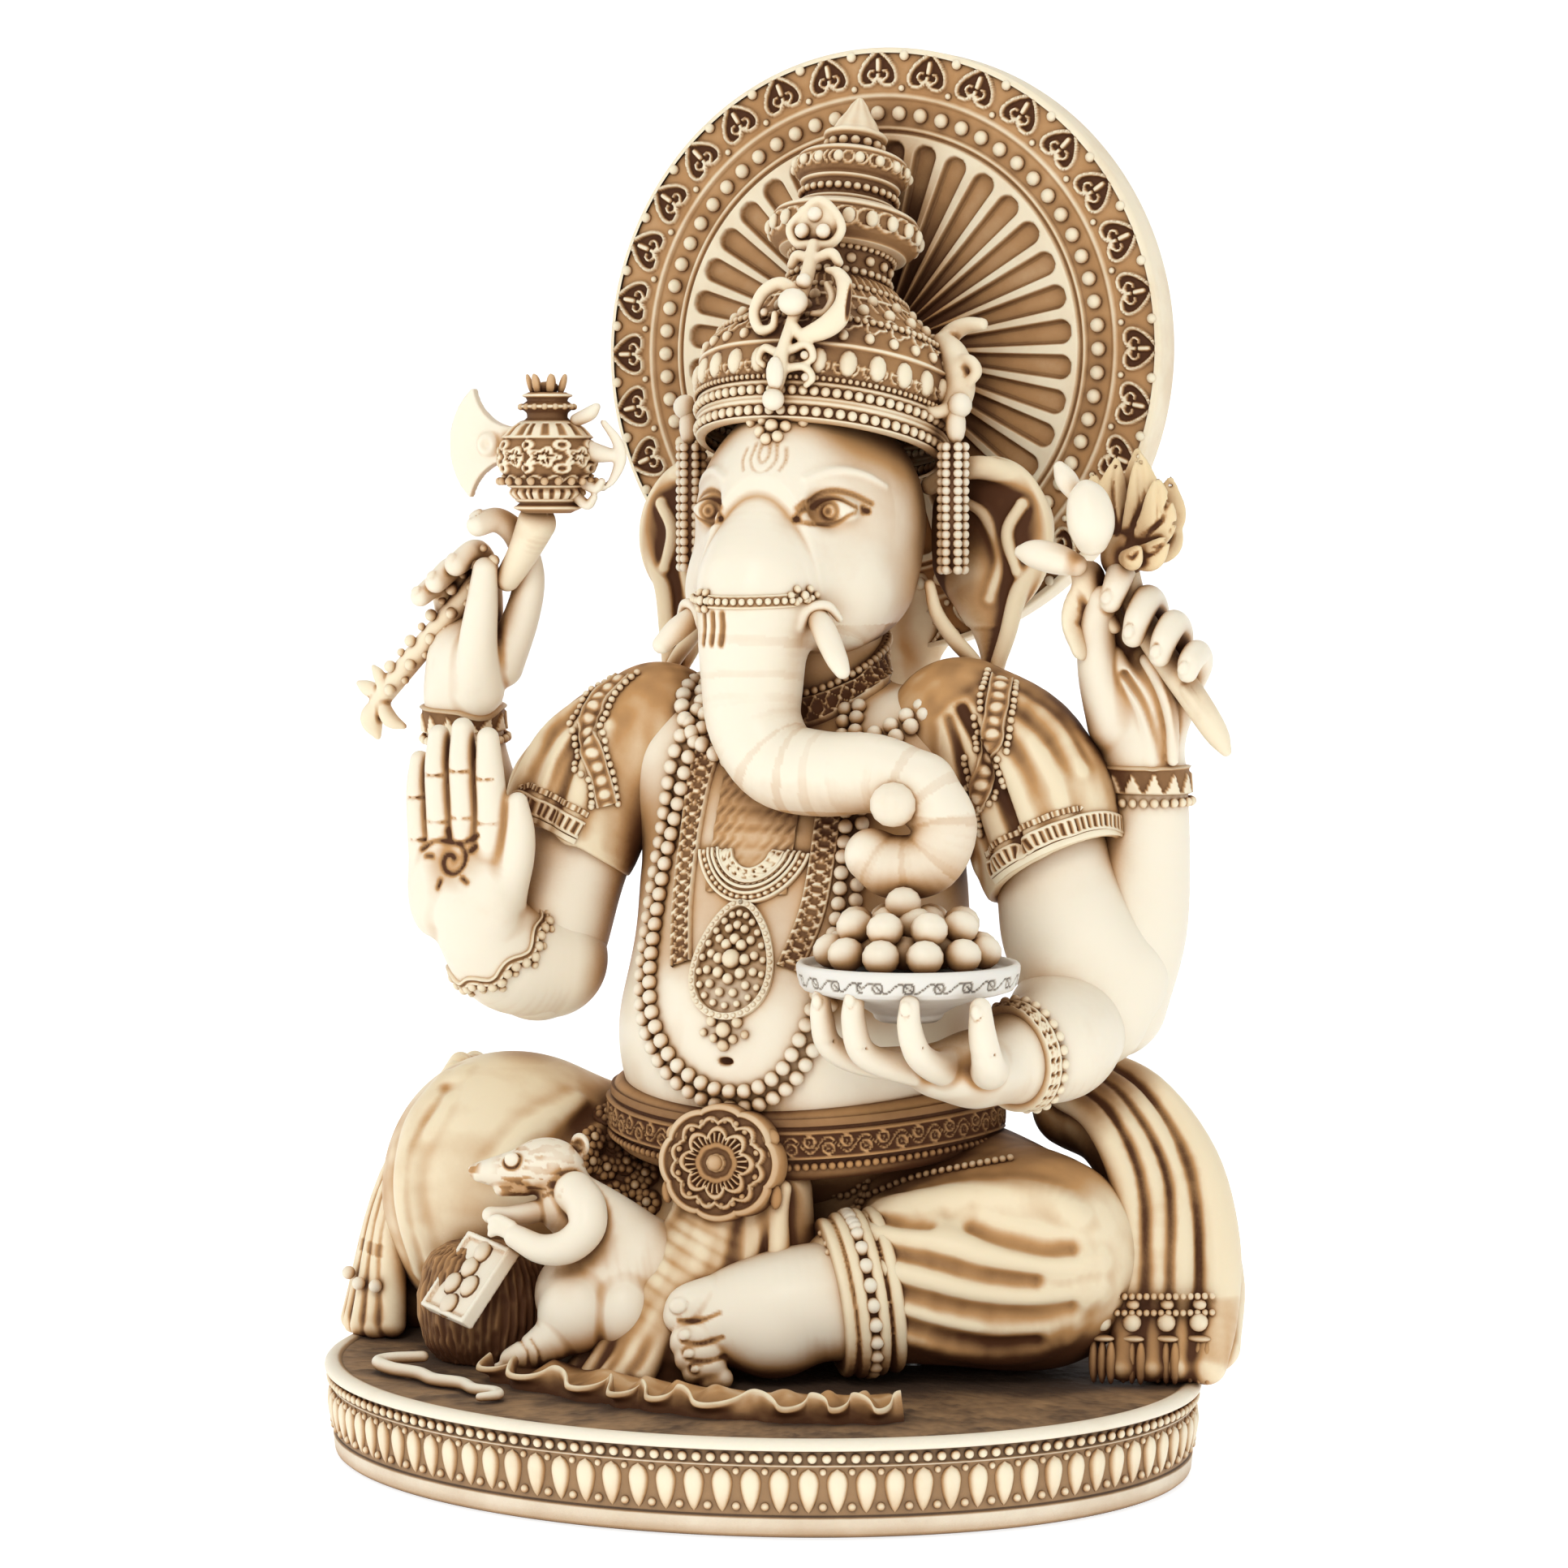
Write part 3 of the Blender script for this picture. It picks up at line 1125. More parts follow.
def make_crest():
    """The jewel on the crown's front: pearl, long drop, crescent, scrolls and a three-pearl trefoil."""
    kit = Kit()
    low, high = corners("crown_crest")
    clay = Clay(low - 5, high + 5, 0.42)
    clay.limb(
        [
            (2.0, 4.4, 225, 1.2), (2.6, 4.2, 229, 2.0), (3.2, 5.6, 234, 1.4), (4.2, 8, 240, 1.3),
            (5.2, 10.5, 246, 1.6), (5.4, 13.5, 251, 1.5), (4.8, 17, 256, 1.3)
        ],
        0.8
    )
    moon = [
        (9.6, 13.6, 250.4, 0.7), (12.6, 12.6, 249.6, 1.3), (14.9, 11.2, 246.4, 1.9), (15.1, 10.0, 242.6, 2.3),
        (13.0, 8.6, 239.2, 2.5), (9.6, 7.6, 237.2, 2.1), (6.6, 7.2, 236.6, 1.5), (5.0, 7.2, 238.6, 0.9)
    ]
    clay.limb(moon, 0.5, flat=(0.2, -1, -0.3), squeeze=0.75)
    clay.limb([(9.8, 13, 247.4, 0.8), (11.6, 12, 244.4, 1.0), (10.2, 11, 241.4, 0.9), (7.6, 10.4, 241.2, 0.7)], 0.5)
    left = [
        (3.6, 9.6, 246.4, 1.4), (0.0, 10.4, 247.6, 1.5), (-3.8, 10.4, 245.8, 1.4), (-5.6, 9.8, 241.6, 1.3),
        (-3.8, 8.6, 238.0, 1.2), (-0.6, 8.2, 238.4, 1.0), (-0.2, 8.6, 241.2, 0.8)
    ]
    clay.limb(left, 0.5, flat=(-0.1, -1, -0.3), squeeze=0.8)
    for rows in (
        [(4.2, 6.2, 233.4, 1.0), (8.0, 6.8, 234.6, 1.0), (9.4, 6.6, 232.0, 0.9), (7.8, 6.2, 230.6, 0.7)],
        [(3.6, 5.2, 229.6, 1.0), (7.6, 5.8, 230.0, 0.9), (9.6, 5.8, 227.8, 0.9), (8.4, 5.6, 226.2, 0.7)],
        [(1.6, 5.6, 233.0, 1.0), (-1.6, 6.4, 234.0, 0.9), (-2.8, 6.2, 231.6, 0.8), (-1.4, 5.8, 230.4, 0.7)],
        [(5.0, 15, 252.6, 1.0), (2.0, 15, 253.6, 1.2), (0.8, 14.6, 251.6, 1.0)],
        [(6.0, 15, 252.8, 1.0), (9.6, 15.4, 254.0, 1.2), (11.4, 15.4, 252.0, 1.0)],
    ):
        clay.limb(rows, 0.45)
    frame = [
        (4.6, 17.6, 256, 1.1), (0.2, 18.6, 256.4, 1.0), (-1.8, 19.4, 259.6, 1.0), (0.6, 20.4, 262.8, 1.0),
        (4.4, 20.6, 265.4, 1.1), (8.2, 20.4, 262.8, 1.0), (10.2, 19.4, 259.2, 1.0), (8.2, 18.6, 256.2, 1.0),
        (4.6, 17.6, 256, 1.1)
    ]
    clay.limb(frame, 0.4, smooth=4)
    clay.egg((4.4, 20.6, 259.6), (5.6, 1.8, 5.0), 0.6)
    clay_piece("crown_crest", clay, relief_resin, ["crown_crest"], stain=0.06, gain=1.7)
    kit.beads([(2.2, 2.6, 223.2)], 2.4, 0.0)
    kit.beads([(2.5, 2.9, 228.6)], 1.0, 0.0, np.diag([2.0, 1.7, 3.6]))
    kit.beads([(4.6, 7.2, 243.6)], 3.1, 0.0, np.diag([1.1, 0.9, 0.95]))
    kit.beads([(6.0, 9.6, 248.0)], 1.7, 0.0)
    kit.beads([(1.7, 18.0, 259.0), (6.6, 18.0, 258.8), (4.3, 18.8, 262.4)], 1.65, 0.0)
    kit.beads([(-3.0, 9.2, 241.6), (8.0, 5.6, 232.4), (8.4, 5.2, 227.8)], 0.9, 0.1)
    kit_piece("crest_jewels", kit, skin_resin)


def make_side_jewels():
    """The tasselled earrings and the scrolled finials at the crown's sides."""
    for side, name in ((1, "earring_left"), (-1, "earring_right")):
        kit = Kit()
        top = np.array([side * 31.0, 31.0, 218.5])
        kit.beads([top + (side * 1.5, 0, 3.6)], 2.7, 0.0)
        kit.beads([top + (side * 0.6, 0, -0.6)], 1.0, 0.03, np.diag([2.2, 2.2, 4.2]))
        rows = np.arange(15)
        for k in range(6):
            a = k * math.pi / 3 + 0.3
            foot = np.stack([2.5 * math.cos(a) + 0 * rows, 2.5 * math.sin(a) + 0 * rows, -5.2 - 1.86 * rows], axis=1)
            kit.beads(top + foot, 1.02, 0.03)
        kit.beads([top + (0, 0, -17.6)], 1.0, 0.8, np.diag([2.4, 2.4, 14.0]))
        kit_piece(name, kit, skin_resin, [name])
    clay = Clay((14, 24, 210), (42, 56, 246), 0.5)
    clay.limb([(30, 33, 221, 3.0), (30.5, 35.5, 226, 3.4), (27.5, 39, 232, 3.6), (24, 42, 235, 3.0)], 1.5)
    clay.limb([(22, 43, 233, 2.4), (24.5, 44.5, 237.4, 2.2), (28, 45, 239.4, 1.8), (31.6, 45, 239.6, 1.4)], 1.0)
    clay.limb([(28, 36, 229, 1.8), (32, 36, 231.6, 1.5), (34.6, 35, 229.4, 1.3), (33.4, 34, 226.8, 1.0)], 0.8)
    clay.limb([(26, 37, 224, 1.8), (24.4, 34, 228, 1.5), (22.6, 33.4, 231.4, 1.3), (24.4, 34.6, 233.6, 1.0)], 0.8)
    clay.limb([(31, 32, 222, 1.6), (28, 29, 220.6, 1.4), (25.6, 27.6, 221.8, 1.1)], 0.8)
    clay_piece("crown_side_scroll", clay, relief_resin, (), stain=0.16, gain=1.9)


# ---- halo --------------------------------------------------------------------------------------------------


HEART_RADIUS = 0.922 * HALO_RADIUS


def heart_tile(columns, radii, pitch_angle):
    """Relief of one heart-shaped leaf, its point outward, on a tile of columns x radii; repeated round the halo."""
    middle_radius = HEART_RADIUS
    u = (np.arange(columns) / columns - 0.5) * pitch_angle * middle_radius
    w = radii - middle_radius
    t = np.linspace(0, 2 * math.pi, 90)
    heart = np.column_stack(
        [4.45 * np.sin(t) ** 3, -(3.7 * np.cos(t) - 1.5 * np.cos(2 * t) - 0.6 * np.cos(3 * t)) + 0.2]
    )
    lines = [(heart, 0.46)]
    for side in (-1, 1):
        a = np.linspace(0, 1.55 * math.pi, 26)
        reach = 1.45 - 0.16 * a
        curl = np.column_stack([side * (1.35 - reach * np.cos(a)), -0.6 - reach * np.sin(a)])
        stem = np.column_stack([np.full(8, side * 0.1), np.linspace(2.4, 0.4, 8)])
        lines += [(curl, 0.34), (stem, 0.5)]
    grid_u, grid_w = np.meshgrid(u, w, indexing="ij")
    total = np.zeros(grid_u.shape)
    for line, half_width in lines:
        away = np.hypot(grid_u[..., None] - line[:, 0], grid_w[..., None] - line[:, 1]).min(2)
        total = np.maximum(total, ridge(away, half_width))
    about = heart - (0, 0.9)
    order = np.argsort(np.arctan2(about[:, 1], about[:, 0]))
    turned_to, reach = np.arctan2(about[order, 1], about[order, 0]), np.hypot(*about[order].T)
    inside = np.hypot(grid_u, grid_w - 0.9) < np.interp(
        np.arctan2(grid_w - 0.9, grid_u), turned_to, reach, period=2 * math.pi
    )
    return total, inside


def make_halo():
    """The round halo: heart border, pearl ring, radial slots, plain rim and plain back."""
    hearts, slots, pearls = 32, 36, 64
    columns = 44 * hearts
    radius = HALO_RADIUS
    radii = np.concatenate([np.linspace(2, 0.5 * radius, 24), np.linspace(0.505 * radius, radius - 1.2, 76)])
    spin = np.arange(columns) * 2 * math.pi / columns
    x, z = np.sin(spin)[:, None] * radii, np.cos(spin)[:, None] * radii
    tile, inside = heart_tile(44, radii, 2 * math.pi / hearts)
    tile, inside = np.roll(tile, 22, axis=0), np.roll(inside, 22, axis=0)
    border, inside = np.tile(tile, (hearts, 1)), np.tile(inside, (hearts, 1))
    r = radii[None] / radius
    ground = np.zeros((columns, len(radii)))
    height = ground - 1.1
    in_border = r > 0.845
    height = np.where(in_border, -1.1 + 1.15 * border + 0.35 * ~inside, height)
    wash = np.where(in_border, np.where(inside, 0.92, 0.4) * (1 - border) ** 1.1, 0.4)
    for at, half in ((0.842, 0.5), (0.735, 0.5)):
        line = ridge((r - at) * radius, half) * np.ones((columns, 1))
        height = np.maximum(height, -1.1 + 0.9 * line)
        wash = np.where(line > 0.5, 0.3 - 0.2 * line, wash)
    slot_zone = r < 0.72
    arc = ((spin[:, None] / (2 * math.pi) * slots) % 1 - 0.5) * 2 * math.pi * radii[None] / slots
    half_slot = 0.33 * 2 * math.pi * radii[None] / slots
    along = np.maximum(radii[None] - (0.68 * radius - 1.6), 0)
    slot = smooth_step(-0.35, 0.35, half_slot - np.hypot(arc, along * 1.1)) * (r < 0.69)
    height = np.where(slot_zone, 0.15 - 1.9 * slot, height)
    wash = np.where(slot_zone, 0.03 + 0.3 * slot + 0.12 * slot * (np.abs(arc) > half_slot - 0.7), wash)
    deep = 0.3 * smooth_step(0.5, 0.24, r)
    wash = np.clip(wash + deep * slot_zone, 0, 1)
    front = np.stack([HALO[0] + x, HALO_FRONT - height, HALO[2] + z], axis=2)
    kit = Kit()
    kit.grid(front, wash, around=True)
    depth = corners("halo")[1][1] - HALO_FRONT
    side = np.array([(radius - 1.2, 0.0), (radius - 0.4, 0.15), (radius, 0.9), (radius, 2.5), (radius, depth * 0.5),
        (radius, depth - 1.2),
                     (radius - 0.5, depth - 0.3), (radius - 1.4, depth)])
    ring = np.stack(
        [
            HALO[0] + np.sin(spin)[::4, None] * side[:, 0], HALO_FRONT + 0 * spin[::4, None] + side[:, 1],
            HALO[2] + np.cos(spin)[::4, None] * side[:, 0]
        ],
        axis=2,
    )
    kit.grid(ring, np.array([0.03, 0.0, 0.0, 0.0, 0.02, 0.05, 0.1, 0.15])[None], around=True)
    back_radii = np.array(
        [
            radius - 1.4, radius - 6, radius - 7.2, radius * 0.64, radius * 0.62, radius * 0.59, radius * 0.57,
            radius * 0.2, radius * 0.18, 0.02
        ]
    )
    back_depth = depth + np.array([0, 0.0, -0.8, -0.8, -0.2, -0.2, -0.8, -0.8, -0.1, 0.0])
    back = np.stack(
        [
            HALO[0] + np.sin(spin)[::8, None] * back_radii, HALO_FRONT + 0 * spin[::8, None] + back_depth,
            HALO[2] + np.cos(spin)[::8, None] * back_radii
        ],
        axis=2,
    )
    kit.grid(back, np.array([0.15, 0.12, 0.6, 0.4, 0.06, 0.06, 0.5, 0.35, 0.08, 0.05])[None], around=True)
    for count, at, pearl, phase in ((pearls, 0.785, 1.6, 0), (hearts, 0.975, 1.15, 0.5), (hearts, 0.868, 0.7, 0.5)):
        a = (np.arange(count) + phase) * 2 * math.pi / count
        kit.beads(
            np.column_stack(
                [
                    HALO[0] + at * radius * np.sin(a), np.full(count, HALO_FRONT + 0.4),
                    HALO[2] + at * radius * np.cos(a)
                ]
            ),
            pearl, 0.0
        )
    kit_piece("halo", kit, relief_resin, ["halo"])


# ---- base --------------------------------------------------------------------------------------------------


def make_base():
    """The oval plinth: rounded ivory rim, bead row, teardrop frieze, plain foot and stippled brown ground."""
    a_half, b_half = corners("base_plinth")[1][:2]
    spin = np.linspace(0, 2 * math.pi, 4000, endpoint=False)
    loop = np.column_stack([a_half * np.cos(spin), b_half * np.sin(spin)])
    run = np.concatenate([[0], np.cumsum(np.linalg.norm(np.diff(np.vstack([loop, loop[:1]]), axis=0), axis=1))])

    def round_base(count, phase=0.0):
        """Places and outward directions spaced evenly round the oval."""
        at = (np.arange(count) + phase) / count * run[-1]
        t = np.interp(at, run, np.append(spin, 2 * math.pi))
        out = np.column_stack([np.cos(t) / a_half, np.sin(t) / b_half])
        return np.column_stack(
            [a_half * np.cos(t), b_half * np.sin(t)]
        ), out / np.linalg.norm(out, axis=1, keepdims=True)

    spots, out = round_base(720)
    top = BASE_TOP
    profile = [
        (0.5, -2.8, 0.3), (0.9, -2.3, 0.12), (1.4, -2.1, 0.04), (2.8, -1.95, 0.0), (4.2, -1.8, 0.04),
        (4.45, -1.85, 0.3), (4.65, -2.3, 0.8),
        (4.9, -2.3, 0.8), (5.1, -2.1, 0.5), (5.4, -2.15, 0.5), (14.6, -1.65, 0.5), (14.8, -1.4, 0.1),
        (15.0, -1.5, 0.2), (15.2, -1.9, 0.55),
        (17.6, -1.6, 0.55), (17.8, -1.4, 0.7), (17.95, -0.6, 0.3), (18.1, -0.15, 0.04), (18.6, 0.0, 0.0),
        (19.3, -0.1, 0.0),
        (19.8, -0.5, 0.0), (top - 0.05, -1.1, 0.0), (top, -1.8, 0.0), (top - 0.05, -2.6, 0.08),
        (top - 0.2, -3.2, 0.45), (top - 0.5, -3.8, 0.8),
    ]
    kit = Kit()
    profile = np.array(profile)
    edge = spots[:, None] + out[:, None] * profile[None, :, 1, None]
    wall = np.concatenate([edge, np.broadcast_to(profile[None, :, 0, None], edge.shape[:2] + (1,))], axis=2)
    kit.grid(wall, profile[None, :, 2], around=True)
    shrink = np.linspace(1, 0.04, 60)[None, :, None]
    inner = edge[:, -1:, :] * shrink
    where = np.concatenate([inner, np.full(inner.shape[:2] + (1,), top - 0.5)], axis=2)
    coarse, fine_grain = noise(where, 5.0, 3), noise(where, 1.1, 4)
    where[..., 2] += 0.35 * (fine_grain - 0.5) * (shrink[..., 0] < 0.995)
    kit.grid(where, np.clip(0.72 + 0.3 * (coarse - 0.5) + 0.25 * (fine_grain - 0.5), 0, 1), around=True)
    kit_piece("base_plinth", kit, ground_resin, ["base_plinth"])

    kit = Kit()
    drops = 96
    places, ways = round_base(drops)
    steps = np.linspace(-1, 1, 9)
    for (px, py), (ox, oy) in zip(places, ways):
        across = np.array([-oy, ox, 0])
        level = np.linspace(5.4, 14.3, 14)
        t = (level - 5.4) / 8.9
        half = 2.15 * np.sqrt(
            np.clip(1 - ((t - 0.66) / np.where(t > 0.66, 0.34, 0.66)) ** 2, 0, 1)
        ) * np.where(t < 0.66, (t / 0.66) ** 0.18, 1)
        lean = -2.15 + 0.5 * t
        bulge = 1.25 * np.sqrt(np.clip(1 - steps[None] ** 2, 0, 1)) * (half / 2.15)[:, None]
        base_line = np.column_stack([px + ox * lean, py + oy * lean, level])
        rows = base_line[:, None] + across * (
            steps[None, :, None] * half[:, None, None]
        ) + np.array([ox, oy, 0]) * bulge[..., None]
        kit.grid(rows, 0.4 * np.abs(steps[None]) ** 6)
    places, ways = round_base(drops, 0.5)
    kit.beads(np.column_stack([places + ways * -1.9, np.full(drops, 6.7)]), 0.85, 0.04)
    kit.beads(np.column_stack([places + ways * -1.55, np.full(drops, 13.7)]), 0.7, 0.1)
    places, ways = round_base(2 * drops, 0.25)
    shapes = np.stack(
        [np.column_stack([(-oy, ox, 0), (ox, oy, 0), (0, 0, 1.0)]) @ np.diag([0.98, 0.9, 0.95]) for ox, oy in ways]
    )
    kit.beads(np.column_stack([places + ways * -1.25, np.full(2 * drops, 16.4)]), 1.0, 0.0, shapes)
    kit_piece("base_frieze", kit, relief_resin)

    high = corners("base_pad")[1]
    kit = Kit()
    ring = np.linspace(0, 2 * math.pi, 160, endpoint=False)
    rows = [(1.0, high[2] - 0.05), (1.0, 0.25), (0.995, 0.0), (0.5, 0.0), (0.01, 0.0)]
    pad = np.stack(
        [
            np.stack([high[0] * f * np.cos(ring), high[1] * f * np.sin(ring), np.full(160, z)], axis=1) for f,
            z in rows
        ],
        axis=1
    )
    kit.grid(pad[:, ::-1], 0.3, around=True)
    kit_piece("base_pad", kit, felt, ["base_pad"])


# ---- arms and hands ----------------------------------------------------------------------------------------


def box_of(*row_sets, margin=6.0):
    """Low and high corners round several lists of (x, y, z, radius)."""
    rows = np.array([row for rows in row_sets for row in rows])
    return (rows[:, :3] - rows[:, 3:]).min(0) - margin, (rows[:, :3] + rows[:, 3:]).max(0) + margin


def nail(clay, spot, way, up, width=1.35, length=1.7):
    """A nail: a small raised plate near spot facing way, its tip toward up. clay_piece darkens its edge."""
    way, up = unit(way), unit(up)
    spot = clay.project(np.array([spot], dtype=float))[0]
    across = np.cross(way, up)
    axes = np.column_stack([across, unit(np.cross(across, way)) * -1.0, way])
    clay.egg(np.array(spot), (width + 0.35, length + 0.35, 0.45), 0.1, axes=axes, cut=True)
    clay.egg(np.array(spot), (width, length, 0.62), 0.1, axes=axes)
    spin = np.linspace(0, 2 * math.pi, 25)
    NAIL_EDGES.append(
        np.array(spot) + 0.35 * way + 1.12 * (
            width * np.cos(spin)[:, None] * axes[:, 0] + length * np.sin(spin)[:, None] * axes[:, 1]
        )
    )


def make_right_front_arm():
    """Upper arm in the sleeve, elbow, and the raised hand with its palm forward and an engraved mark."""
    upper = [(-45, 11, 137, 12.6), (-50, 9, 122, 12.4), (-53.5, 7, 108, 12.6), (-55, 4, 102, 12.6)]
    clay = Clay(*box_of(upper, margin=4), 0.6)
    clay.limb(upper, 2)
    clay_piece("upper_arm_right", clay, skin_resin, ["upper_arm_right"], stain=0.05)

    arm = [(-53, 5, 103, 13), (-57.5, -3, 104, 12.2), (-60, -8.5, 108.5, 10.6), (-61.5, -11.5, 114, 9.2)]
    fingers = [
        [(-57.8, -13, 127, 3.6), (-57.3, -14.2, 136, 3.0), (-57.6, -14.6, 144.5, 2.7), (-58.2, -14.0, 151.5, 2.15)],
        [(-62.4, -13.2, 128, 3.5), (-62.4, -14.4, 137, 3.0), (-62.8, -14.6, 146, 2.75), (-63.2, -13.8, 153.4, 2.15)],
        [(-67.0, -13.2, 127, 3.4), (-67.3, -14.2, 136, 2.95), (-67.8, -14.3, 145, 2.65), (-68.0, -13.5, 151.8, 2.1)],
        [(-71.2, -12.6, 124, 3.2), (-71.8, -13.2, 132, 2.7), (-72.3, -13.0, 140, 2.45), (-72.4, -12.2, 146.2, 1.95)],
    ]
    thumb = [(-54.5, -11.5, 118, 4.6), (-50.6, -13.2, 126, 3.7), (-49.6, -13.6, 132, 3.1), (-50.4, -13.2, 138, 2.2)]
    fingers = [[(-62.8 + 1.24 * (x + 62.8), y, z, 1.12 * r) for x, y, z, r in rows] for rows in fingers]
    clay = Clay(*box_of(arm, *fingers, thumb, margin=5), 0.5)
    clay.limb(arm, 3)
    clay.egg((-63.6, -12.0, 122.5), (13.6, 5.4, 13.4), 5, axes=turn((0, 1, 0), 4))
    clay.egg((-57, -14.6, 118), (5.8, 4.0, 8.5), 3, axes=turn((0, 1, 0), -12))
    clay.egg((-71, -13.4, 118.5), (5.2, 4.2, 9.5), 3, axes=turn((0, 1, 0), 6))
    for rows in fingers:
        clay.limb(rows, 0.7)
    clay.limb(thumb, 1.6)
    for rows in fingers:
        for k, z_shift in ((1, -2.5), (2, -1.5)):
            x, y, z, r = rows[k]
            clay.groove(
                np.array(
                    [
                        (x - r * 0.8, y - r * 0.72, z + z_shift), (x, y - r, z + z_shift - 0.2),
                        (x + r * 0.8, y - r * 0.72, z + z_shift)
                    ]
                ),
                0.35
            )
    mark = []
    turns = np.linspace(0, 2.1 * math.pi, 26)
    mark.append(
        [
            (
                -64.2 + (1 + 0.62 * a) * 0.78 * math.cos(a + 0.8), -30,
                125.4 + (1 + 0.62 * a) * 0.78 * math.sin(a + 0.8)
            ) for a in turns
        ]
    )
    for k in range(5):
        a = 2 * math.pi * k / 5 + 0.3
        mark.append(
            [
                (
                    -64.2 + r * math.cos(a + 0.2 * r / 6), -30, 125.4 + r * math.sin(a + 0.2 * r / 6)
                ) for r in np.linspace(4.9, 6.4, 6)
            ]
        )
    lines = [clay.drop(np.array(points)) for points in mark]
    for line in lines:
        clay.groove(line, 0.34)
    crease = [clay.drop(even(curve([(-58, -30, 131), (-62, -30, 129.2), (-68, -30, 129.5), (-72, -30, 127.5)]), 0.6))]
    clay.groove(crease[0], 0.35)

    def extra(points):
        palm = np.exp(-(((points[:, 0] + 64) / 6.5) ** 2) - ((points[:, 2] - 125.5) / 6) ** 2) * (points[:, 1] < -11)
        tips = 0.22 * smooth_step(118, 150, points[:, 2])
        return near_lines(points, lines, 0.75, 0.5) + 0.3 * palm + tips + near_lines(points, crease, 0.7, 0.4)

    clay_piece(
        "forearm_right_front", clay, skin_resin, ["forearm_right_front"], stain=0.04, gain=1.1,
        extra=extra
    )
    kit = Kit()
    ring = []
    start, along = np.array([-59.2, -7.2, 106.4]), unit((-0.28, -0.62, 0.74))
    across = unit(np.cross(along, (0, 0, 1)))
    third = np.cross(along, across)
    for a in np.linspace(0, 2 * math.pi, 40, endpoint=False):
        ring.append(start + 11.2 * (math.cos(a) * across + math.sin(a) * third) + along * 0.9 * math.cos(7 * a))
    ring = clay.project(np.array(ring))
    kit.band(
        clay, np.vstack([ring, ring[:1]]), 2.0, lambda s, y, half: rails(y, half, 0.35, 0.35), lift=0.7, out=0.1,
        dark=0.6
    )
    lace = clay.project(even(np.vstack([ring, ring[:1]]), 2.3) + along * -1.4, 0.35)
    kit.beads(lace, 1.15, 0.12)
    kit.beads(clay.project(even(np.vstack([ring, ring[:1]]), 4.6) + along * -2.9, 0.2), 0.8, 0.2)
    kit_piece("bracelet_right_front", kit, relief_resin, ["bracelet_right_front"])


def make_right_back_arm():
    """The back arm with the hand that grips the axe's staff."""
    arm = [
        (-62, 14, 100, 11.5), (-70, 14, 122, 10), (-76, 12.5, 143, 8.8), (-77, 11.5, 152, 8.4), (-76.5, 10, 158, 8.4)
    ]
    thumb = [(-69, 4.5, 160.5, 5), (-68, 1.5, 170, 4.3), (-66.4, 0.4, 179, 3.5), (-65.3, 0, 187, 2.7)]
    index = [
        (-66.5, 9, 166, 5), (-61.5, 9.5, 177, 3.9), (-59.4, 9, 186, 3.3), (-60.6, 6, 194, 2.9),
        (-63, 1.5, 197.6, 2.7), (-65.6, -2.6, 196.6, 2.5)
    ]
    others = [
        [(-72, 11.5, 172, 4.3), (-70, 9.5, 184, 3.1), (-69.8, 4.5, 190.6, 2.8), (-71.8, -1.2, 188, 2.5)],
        [(-76.5, 11.5, 170, 4.2), (-75.6, 10, 181, 3.0), (-75.4, 4.5, 187, 2.7), (-77, -0.8, 184.2, 2.4)],
        [(-80.5, 11, 167.5, 3.9), (-80, 9.5, 177.5, 2.8), (-79.6, 4.5, 183.2, 2.5), (-81.2, -0.3, 181, 2.2)],
    ]
    clay = Clay(*box_of(arm, thumb, index, *others, margin=3), 0.5)
    clay.limb(arm, 3)
    clay.egg((-74.6, 8.6, 166.2), (9.6, 6.4, 10.6), 4, axes=turn((0, 1, 0), 14))
    clay.egg((-71.5, 4.6, 164.5), (6.6, 4.2, 8.6), 3)
    clay.limb(thumb, 2.0)
    clay.limb(index, 1.0)
    for rows in others:
        clay.limb(rows, 0.8)
    nail(clay, (-65.8, -2.4, 197.9), (-0.35, -0.45, 0.85), (-0.7, -0.7, -0.2))
    for rows in others:
        x, y, z, r = rows[-1]
        nail(clay, (x - 0.2, y - r * 0.75, z + r * 0.6), (-0.1, -0.75, 0.65), (-0.2, -0.6, -0.7), 1.1, 1.4)
    clay_piece("forearm_right_back", clay, skin_resin, ["forearm_right_back"], stain=0.06, gain=1.2)
    kit = Kit()
    bracelet(kit, clay, (-77, 11.4, 153.4), (0.03, -0.1, 1), 9.5, 6.4)
    kit_piece("bracelet_right_back", kit, relief_resin, ["bracelet_right_back"])


def bracelet(kit, clay, centre, along, reach, width):
    """A bracelet laid on an arm: a band of triangles over a row of beads."""
    along = unit(along)
    across = unit(np.cross(along, (0, 1, 0)))
    third = np.cross(along, across)
    spin = np.linspace(0, 2 * math.pi, 28)
    ring = np.array(centre) + reach * (np.cos(spin)[:, None] * across + np.sin(spin)[:, None] * third)
    kit.band(clay, ring + along * 1.0, width, teeth(4.2), lift=0.8, out=0.35, dark=0.72)
    row = clay.project(even(clay.project(ring - along * (width / 2 + 0.3)), 2.1), 0.75)
    kit.beads(row[:-1], 0.98, 0.03)


